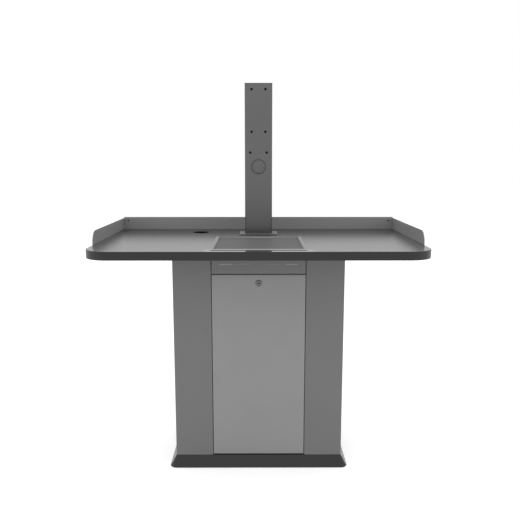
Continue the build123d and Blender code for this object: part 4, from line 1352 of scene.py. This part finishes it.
@dataclass
class Cabinet:
    """Fascia with pressed beads, and the cabinet's screws, outlet and buffers."""

    sheet: float = 0.002
    bend: float = 0.0022
    bead_spans: tuple[tuple[float, float, float], ...] = ((0.024, 0.082, 0.00013), (0.091, 0.137, 0.0003))
    bead_half: float = 0.0026
    bead_below_top: float = 0.053
    bead_margin: float = 0.004
    outlet_bore: float = 0.020
    buffer_radius: float = 0.006
    panel_screw: Screw = Screw(0.004, 0.0024, 0.002, 0.0007)
    bracket_screw: Screw = Screw(0.0045, 0.0024, 0.00225, 0.0009)
    bracket_bolt: Screw = Screw(0.0058, 0.0035, 0.003, 0.001, Outline.HEXAGON)

    def relief(self, spine: float, x: Array, y: Array) -> Array:
        """Height of the pressed beads: H (1 - d^2)^2, with d the distance to a bead's spine.

        d counts in half widths of the bead, so each bead is a soft ridge with round ends.

        Args:
            spine: the beads' place up the fascia.
            x: places across the fascia.
            y: places up the fascia.

        Returns:
            Height over the sheet.
        """
        height = np.zeros_like(x)
        for near, far, proud in self.bead_spans:
            inner, outer = near + self.bead_half, far - self.bead_half
            beyond = np.maximum(np.maximum(inner - np.abs(x), np.abs(x) - outer), 0)
            apart = np.hypot(beyond, y - spine) / self.bead_half
            height = np.maximum(height, proud * np.clip(1 - apart**2, 0, 1) ** 2)
        return height

    def fascia(self) -> None:
        """The fascia as a pan with its returns."""
        low, high = box_of("fascia")
        front = box_of("left_column")[0][1]
        centre_z = (low[2] + high[2]) / 2
        half_x, half_y, ridge = high[0], (high[2] - low[2]) / 2, self.bead_half
        spine = high[2] - self.bead_below_top - centre_z
        a, b = half_x - self.bend, half_y - self.bend
        near, last = self.bead_spans[0][0] - self.bead_margin, self.bead_spans[-1][1] + self.bead_margin
        pan = FoldedPan(
            half_x, half_y, high[1] - front, self.sheet, self.bend,
            lines((-a, -last, -near, near, last, a), (0.005, 0.0012, 0.006, 0.0012, 0.005)),
            lines((-b, spine - ridge, spine + ridge, b), (0.012, 0.0005, 0.012)),
            functools.partial(self.relief, spine),
        )
        patch = pan.build().at(central((low, high), front))
        piece("fascia_pressed", patch, Surface.FASCIA_COAT, stands_for=["fascia"])

    def outlet(self) -> None:
        """Rubber grommet of the rear cable outlet, with rounded lips."""
        low, high = box_of("outlet_grommet")
        outer, bore, thick = (high[2] - low[2]) / 2, self.outlet_bore, (high[1] - low[1]) / 2
        neck, lip = outer - 0.004, 0.0006
        half = [(bore, thick - lip), (bore + lip, thick), (outer - lip * 2, thick)]
        half += [(outer, thick - lip * 1.6), (outer, thick - lip * 3), (neck, thick - 0.002)]
        section = rings(*half, *((r, -h) for r, h in reversed(half)))
        place = central((low, high), (low[1] + high[1]) / 2, Facing.REAR)
        patch = stack(section, MEDIUM, closed=True).at(place)
        name = "outlet_grommet_moulded"
        piece(name, patch, Surface.BLACK_RUBBER, stands_for=["outlet_grommet"])

    def buffer(self, height: float) -> Patch:
        """A domed rubber buffer, whose radius falls off over the upper half of its height.

        Args:
            height: its height.

        Returns:
            The surface.
        """
        r, h = self.buffer_radius, height
        dome = rings((0, 0), (r, 0), (r, 0.45 * h), (0.9 * r, 0.75 * h), (0.6 * r, 0.96 * h), (0, h))
        return stack(dome, SMALL)

    def build(self) -> None:
        """Make the fascia, the outlet, the buffers and the screws."""
        self.fascia()
        self.outlet()
        domes = at_each("door_buffers", self.buffer, Facing.FRONT, from_face=False)
        piece("door_buffers_domed", domes, Surface.BLACK_RUBBER, stands_for=["door_buffers"])
        panel, bracket, bolt = self.panel_screw.patch, self.bracket_screw.patch, self.bracket_bolt.patch
        for node, screw, facing, level in (
            ("panel_screws", panel, Facing.REAR, None),
            ("fascia_screws", panel, Facing.DOWN, None),
            ("worktop_screws", bracket, Facing.DOWN, None),
            ("overhang_screws", bracket, None, bolt),
        ):
            patch = at_each(node, screw, facing, level=level)
            piece(f"{node}_driven", patch, Surface.ZINC, stands_for=[node])


@dataclass
class Door:
    """The door's outer pan, with rounded folds and the lock's hole."""

    sheet: float = 0.002
    bend: float = 0.0022
    lock_hole: float = 0.00955
    face_step: float = 0.03
    hole_step: float = 0.004

    def build(self) -> None:
        """Make the pan."""
        low, high = box_of("door_skin")
        lock_low, lock_high = box_of("lock_body")
        centre_z = (low[2] + high[2]) / 2
        lock_y = (lock_low[2] + lock_high[2]) / 2 - centre_z
        half_x, half_y = high[0], (high[2] - low[2]) / 2
        a, b, reach = half_x - self.bend, half_y - self.bend, self.lock_hole * FoldedPan.hole_block
        steps = (self.face_step, self.hole_step, self.face_step)
        x_lines = lines((-a, -reach, reach, a), steps)
        y_lines = lines((-b, lock_y - reach, lock_y + reach, b), steps)
        pan = FoldedPan(
            half_x, half_y, high[1] - low[1], self.sheet, self.bend, x_lines, y_lines,
            hole=(0.0, lock_y, self.lock_hole),
        )
        patch = pan.build().at(central((low, high), low[1]))
        piece("door_pan", patch, Surface.DOOR_COAT, Body.DOOR.value, ["door_skin"])


@dataclass
class CamLock:
    """Cam lock: ring and threaded barrel, nut, and the plug with its keyway."""

    plug_radius: float = 0.0065
    plug_play: float = 0.00012
    barrel_radius: float = 0.0095
    collar: float = 0.0055
    keyway_half: float = 0.0054
    keyway_depth: float = 0.005
    # Depth and thickness of the black plate that paints shade in the keyway
    darkener_drop: float = 0.0013
    darkener_thick: float = 0.001
    nut_flat: float = 0.012
    thread_pitch: float = 0.001
    tail_half: float = 0.004
    tail_corner: float = 0.0006
    cam_screw: Screw = Screw(0.005, 0.0025, 0.002, 0.0007)

    def body(self) -> None:
        """Ring with a dished face, and the barrel behind it."""
        low, high = box_of("lock_body")
        front = box_of("door_skin")[0][1]
        proud, radius, bore = front - low[1], (high[0] - low[0]) / 2, self.plug_radius + self.plug_play
        barrel, end = self.barrel_radius, -(high[1] - front)
        section = rings(
            (bore, end), (bore, proud - 0.0006), (bore + 0.0005, proud - 0.0003),
            (radius * 0.68, proud - 0.0003), (radius * 0.72, proud), (radius * 0.78, proud),
            (radius * 0.9, proud - 0.0007),
            (radius * 0.97, proud - 0.0013), (radius, proud - 0.0018), (radius, PLAY), (barrel, PLAY),
            (barrel, -self.collar),
        )
        run = thread(barrel, self.thread_pitch, self.thread_pitch / 2, -self.collar, end, segments=48)
        patch = Patch.joined([stack(section), run, stack(rings((barrel, end), (bore, end)))])
        patch = patch.at(central((low, high), front))
        piece("lock_ring", patch, Surface.NICKEL, Body.DOOR.value, ["lock_body"])

    def tail(self, start: float, end: float) -> list[Patch]:
        """The plug's square tail, closed at its far end.

        Args:
            start: height at which it leaves the plug.
            end: height of its end.

        Returns:
            The tail's sides and its end.
        """
        half, corner = self.tail_half, self.tail_corner
        outline, _ = rounded_rectangle(half, half, corner, side_steps=8, arc_steps=4)
        near, far, centre = (
            np.column_stack([outline * share, np.full(len(outline), height)])
            for share, height in ((1.0, start), (1.0, end), (0.0, end))
        )
        return [Patch.sheet(np.stack(pair, axis=1), round_u=True) for pair in ((near, far), (far, centre))]

    def plug(self) -> None:
        """Plug with a round-ended keyway sunk into its face, its square tail, and a black plate in the keyway
        as painted shade.
        """
        low, high = box_of("lock_plug")
        half, slot, radius, deep = self.keyway_half, Outline.SLOT, self.plug_radius, self.keyway_depth
        end = -(box_of("lock_body")[1][1] - low[1])
        section = rings(
            (0, -deep), (half * 0.94, -deep, slot), (half * 0.96, -0.0006, slot),
            (half * 1.04, -0.0001, slot), (radius * 0.93, 0), (radius, -0.0004), (radius, end),
        )
        back = stack(rings((radius, end), (0, end)), MEDIUM)
        patches = [stack(section, MEDIUM), back, *self.tail(end, low[1] - high[1])]
        place = central((low, high), low[1])
        patch = Patch.joined(patches).at(place)
        piece("lock_plug_keyway", patch, Surface.NICKEL, Body.LOCK.value, ["lock_plug"])
        # A black plate sunk in the keyway paints the shade of its depth.
        face, rear = -self.darkener_drop, -self.darkener_drop - self.darkener_thick
        keyway_darkener = rings((0, face), (half * 0.93, face, slot), (half * 0.93, rear, slot), (0, rear))
        patch = stack(keyway_darkener, MEDIUM).at(place)
        piece("lock_keyway_painted_shade", patch, Surface.BLACK_ZINC, Body.LOCK.value)

    def build(self) -> None:
        """Make the lock's pieces."""
        self.body()
        nut = Nut(self.nut_flat, self.barrel_radius + PLAY)
        patch = at_each("lock_nut", nut.patch, Facing.REAR, from_face=False)
        piece("lock_nut_chamfered", patch, Surface.ZINC, Body.DOOR.value, ["lock_nut"])
        self.plug()
        patch = at_each("cam_screw", self.cam_screw.patch, Facing.REAR)
        piece("cam_screw_driven", patch, Surface.ZINC, Body.LOCK.value, ["cam_screw"])


@dataclass
class Worktop:
    """The recess's rolled frame, and the lips' screws and rivets."""

    frame_wall: float = 0.002
    rim_round: float = 0.0009
    wall_below_rim: float = 0.0012
    frame_corner: float = 0.006
    wall_corner: float = 0.0004
    front_rim: float = 0.013
    side_rim: float = 0.010
    rivet_head: float = 0.00325
    rivet_shank: float = 0.002
    rivet_rise: float = 0.0012
    lip_screw: Screw = Screw(0.0038, 0.0018, 0.002, 0.0009, countersunk=True)

    def recess_frame(self) -> None:
        """Rolled rim that stands on the worktop, and the wall that lines the pocket."""
        low, high = box_of("recess_frame")
        top = box_of("worktop_laminate")[1][2]
        half_x, half_y = high[0], (high[1] - low[1]) / 2
        centre = (low[1] + high[1]) / 2
        open_x = half_x - self.side_rim
        open_y = half_y - (self.side_rim + self.front_rim) / 2
        open_centre = centre + (self.front_rim - self.side_rim) / 2
        r, corner, least = self.rim_round, self.frame_corner, self.wall_corner
        bends = [(r * (1 - math.cos(t)), r * (1 - math.sin(t))) for t in np.linspace(0, QUARTER, 5)]

        def lining(out: float, level: float, corner: float) -> Course:
            """The opening's rounded rectangle, a distance outside it at a level."""
            return Course(open_x + out, open_y + out, corner, level, open_centre)

        courses = [Course(half_x, half_y, corner, top, centre)]
        courses += [Course(half_x - u, half_y - u, corner - u, high[2] - v, centre) for u, v in bends]
        courses += [lining(v, high[2] - u, v + least) for u, v in bends]
        wall, split = self.frame_wall, high[2] - self.wall_below_rim
        courses += [lining(0, split, least), lining(wall, split, 2 * least), lining(wall, top, 2 * least)]
        patch = swept_frame(courses)
        piece("recess_frame_rolled", patch, Surface.RIM_COAT, stands_for=["recess_frame"])
        section = [(0.0, split), (0.0, low[2]), (wall, low[2]), (wall, split)]
        patch = swept_frame([lining(out, level, least + out) for out, level in section])
        piece("recess_wall", patch, Surface.WALL_COAT_PAINTED_LIGHT)

    def rivet(self, deep: float) -> Patch:
        """A rivet with a domed head, which falls in shares of its rise towards the rim.

        Args:
            deep: from the head's top to the end.

        Returns:
            The surface.
        """
        head, shank, rise = self.rivet_head, self.rivet_shank, self.rivet_rise
        section = rings(
            (0, 0), (0.5 * head, -0.12 * rise), (0.8 * head, -0.4 * rise), (head, -0.85 * rise),
            (head, -rise), (shank, -rise), (shank, -deep), (0, -deep),
        )
        return stack(section, SMALL)

    def build(self) -> None:
        """Make the worktop's new pieces."""
        self.recess_frame()
        patch = at_each("lip_rivets", self.rivet, Facing.FRONT)
        piece("lip_rivets_domed", patch, Surface.BLACK_ZINC, stands_for=["lip_rivets"])
        patch = at_each("lip_screws", self.lip_screw.patch)
        piece("lip_screws_driven", patch, Surface.ZINC, stands_for=["lip_screws"])


@dataclass
class Mast:
    """Weld at the mast's foot, threaded inserts, and the blanked grommet."""

    tube_corner: float = 0.004
    weld_leg: float = 0.0016
    weld_ripple: float = 0.0014
    insert_bore: float = 0.003
    insert_pitch: float = 0.001
    insert_depth: float = 0.0003
    insert_head: float = 0.0045
    lead: float = 0.0006
    nut_flat: float = 0.0065
    stud_radius: float = 0.004
    grommet_mouth: float = 0.0242
    grommet_throat: float = 0.02175
    grommet_neck: float = 0.0255

    def weld(self) -> None:
        """Fillet weld between the tube and the flange."""
        low, high = box_of("mast_tube")
        half_x, half_y = (high[:2] - low[:2]) / 2
        patch = weld_bead(half_x, half_y, self.tube_corner, self.weld_leg, self.weld_ripple)
        patch = patch.at(Place((0.0, (low[1] + high[1]) / 2, low[2])))
        piece("mast_weld", patch, Surface.MAST_COAT)

    def insert(self, deep: float) -> Patch:
        """A rivet nut with a flush head, a body and a threaded bore.

        Args:
            deep: its depth.

        Returns:
            The surface.
        """
        bore, head, lead = self.insert_bore, self.insert_head, self.lead
        outside = rings(
            (bore, -deep), (head, -deep), (head, -0.0008), (head, 0.0), (bore + lead, 0.0), (bore, -lead)
        )
        run = thread(bore, self.insert_pitch, -self.insert_depth, -lead, -deep)
        return Patch.joined([stack(outside, TINY), run])

    def grommet(self) -> None:
        """Ring with a rounded lip, and the lid that closes it."""
        low, high = box_of("grommet_ring")
        lid_low, lid_high = box_of("grommet_lid")
        face = box_of("mast_tube")[0][1]
        lead, notch = self.lead, Outline.NOTCH
        outer, proud, deep = (high[0] - low[0]) / 2, face - low[1], high[1] - face
        mouth, throat, neck = self.grommet_mouth, self.grommet_throat, self.grommet_neck
        ledge = face - lid_high[1]
        section = rings(
            (neck, 0.0), (outer, 0.0), (outer, proud * 0.45), (outer - 0.0004, proud * 0.8),
            (outer - 0.0011, proud), (mouth + 0.0003, proud), (mouth, proud * 0.75), (mouth, ledge),
            (throat, ledge), (throat, -deep), (neck - lead, -deep), (neck, -deep + 0.001),
        )
        patch = stack(section, LARGE, closed=True).at(central((low, high), face))
        name = "grommet_ring_moulded"
        piece(name, patch, Surface.RING_PLASTIC_PAINTED_SHADE, stands_for=["grommet_ring"])
        edge, thick = (lid_high[0] - lid_low[0]) / 2, lid_high[1] - lid_low[1]
        disc = rings(
            (0, 0), (0.7 * edge, 0), (0.97 * edge, 0, notch), (edge, -0.0003, notch),
            (edge, -thick, notch), (0, -thick),
        )
        lid = stack(disc, FINE).at(central((low, high), lid_low[1]))
        piece("grommet_lid_moulded", lid, Surface.GREY_PLASTIC, stands_for=["grommet_lid"])

    def build(self) -> None:
        """Make the mast's new pieces."""
        self.weld()
        inserts = at_each("mast_inserts", self.insert, Facing.FRONT)
        name = "mast_inserts_threaded"
        piece(name, inserts, Surface.BLACK_ZINC, stands_for=["mast_inserts"])
        self.grommet()
        nut = Nut(self.nut_flat, self.stud_radius + PLAY)
        nuts = at_each("mast_nuts", nut.patch, Facing.UP, from_face=False)
        piece("mast_nuts_chamfered", nuts, Surface.ZINC, stands_for=["mast_nuts"])


# Carried-over nodes

EDGE = 0.0004
DRESSINGS: tuple[tuple[Dressing, str], ...] = (
    (Dressing(Surface.LIP_COAT_PAINTED_LIGHTER, EDGE), "back_lip left_lip right_lip"),
    (Dressing(Surface.MAST_COAT, EDGE), "mast_tube"),
    (Dressing(Surface.FLANGE_COAT, EDGE), "mast_flange"),
    (Dressing(Surface.GREY_COAT, EDGE), "left_column right_column base_brackets top_brackets rear_panel"),
    (Dressing(Surface.GREY_COAT, EDGE), "left_shelf_rail right_shelf_rail equipment_shelf top_plate"),
    (Dressing(Surface.GREY_COAT, EDGE), "left_overhang_bracket right_overhang_bracket door_stops"),
    (Dressing(Surface.DOOR_COAT, EDGE), "door_liner"),
    (Dressing(Surface.PLINTH_COAT, EDGE), "base_plate"),
    (Dressing(Surface.BOARD), "worktop_core"),
    (Dressing(Surface.TOP_LAMINATE), "worktop_laminate"),
    (Dressing(Surface.BLACK_BAND), "worktop_edge_band"),
    (Dressing(Surface.PLATE_LAMINATE), "recess_plate"),
    (Dressing(Surface.ZINC), "mast_studs mast_washers pivot_pins"),
    (Dressing(Surface.ZINC, EDGE), "mast_backing_plate lock_cam"),
    (Dressing(Surface.GREY_PLASTIC), "mast_cap"),
    (Dressing(Surface.NYLON), "pivot_bushes"),
)


# Studio


@dataclass
class Studio:
    """Pale floor, soft even light, and the camera at the photograph's viewing angle."""

    rays: tuple[str, str] = ("Is Camera Ray", "Is Glossy Ray")
    camera_place: Point = (-0.00176, -2.0797, 1.0969)
    pitch: float = math.radians(9.376)
    yaw: float = math.radians(-0.187)
    lens: float = 41.13
    sensor: float = 36.0
    ambient: float = 0.9
    floor_half: float = 9.0
    floor_tone: float = 0.8
    floor_glow: float = 0.5
    box_place: Point = (3.1, -2.0, 0.85)
    box_aim: Point = (0.0, 0.0, 0.6)
    box_size: tuple[float, float] = (3.0, 2.0)
    box_power: float = 33.0
    clip: tuple[float, float] = (0.05, 60.0)

    def camera(self) -> None:
        """The camera, and the scene's view settings."""
        data = bpy.data.cameras.new("photo_camera")
        data.sensor_width = self.sensor
        data.lens = self.lens
        data.clip_start, data.clip_end = self.clip
        made = placed("photo_camera", data)
        made.location = self.camera_place
        made.rotation_euler = (QUARTER - self.pitch, 0.0, self.yaw)
        bpy.context.scene.camera = made
        bpy.context.scene.view_settings.view_transform = "Standard"

    def world(self) -> None:
        """Even light, with a white background for the camera, gloss and glass."""
        world = bpy.data.worlds.new("studio")
        bpy.context.scene.world = world
        tree = Tree(world)
        strength = tree.seen(*self.rays, "Is Transmission Ray") * (1.0 - self.ambient) + self.ambient
        light = tree.add("ShaderNodeBackground", {}, {"Color": grey(1.0), "Strength": strength})["Background"]
        tree.add("ShaderNodeOutputWorld", {}, {"Surface": light})

    def lamp(self, name: str, side: int) -> None:
        """A soft rectangular lamp at one side of the stand, aimed at its middle.

        Args:
            name: the lamp's name.
            side: -1 for the left or 1 for the right.
        """
        data = bpy.data.lights.new(name, "AREA")
        data.shape = "RECTANGLE"
        data.size, data.size_y = self.box_size
        data.energy = self.box_power
        made = placed(name, data)
        made.location = np.array(self.box_place) * (side, 1, 1)
        way = np.array(self.box_aim) - np.array(made.location)
        level = math.hypot(way[0], way[1])
        made.rotation_euler = (math.atan2(level, -way[2]), 0.0, math.atan2(way[1], way[0]) - QUARTER)
        made.visible_glossy = False

    def floor(self) -> None:
        """White floor that keeps the stand's shadow."""
        mesh = bpy.data.meshes.new("studio_floor")
        h = self.floor_half
        mesh.from_pydata([(-h, -h, 0), (h, -h, 0), (h, h, 0), (-h, h, 0)], [], [(0, 1, 2, 3)])
        material = bpy.data.materials.new("studio_floor")
        tree = Tree(material)
        strength = tree.seen(*self.rays) * self.floor_glow
        glow = tree.add("ShaderNodeEmission", {}, {"Color": grey(1.0), "Strength": strength})
        matt = tree.add("ShaderNodeBsdfDiffuse", {}, {"Color": grey(self.floor_tone)})
        both = tree.add("ShaderNodeAddShader", {}, {0: matt["BSDF"], 1: glow["Emission"]})["Shader"]
        tree.add("ShaderNodeOutputMaterial", {}, {"Surface": both})
        mesh.materials.append(material)
        made = placed("studio_floor", mesh)

    def build(self) -> None:
        """Set the whole studio up."""
        self.camera()
        self.world()
        self.floor()
        self.lamp("left_softbox", -1)
        self.lamp("right_softbox", 1)


def main() -> None:
    """Build the sub-assemblies in order, dress the carried-over nodes and set up the studio."""
    logging.basicConfig(level=logging.INFO, format="%(name)s %(message)s")
    for assembly in (Plinth(), Cabinet(), Door(), CamLock(), Worktop(), Mast()):
        log.info("building %s", type(assembly).__name__)
        assembly.build()
    for dressing, nodes in DRESSINGS:
        for node in nodes.split():
            dressing.put_on(node)
    Studio().build()


if __name__ == "__main__":
    main()
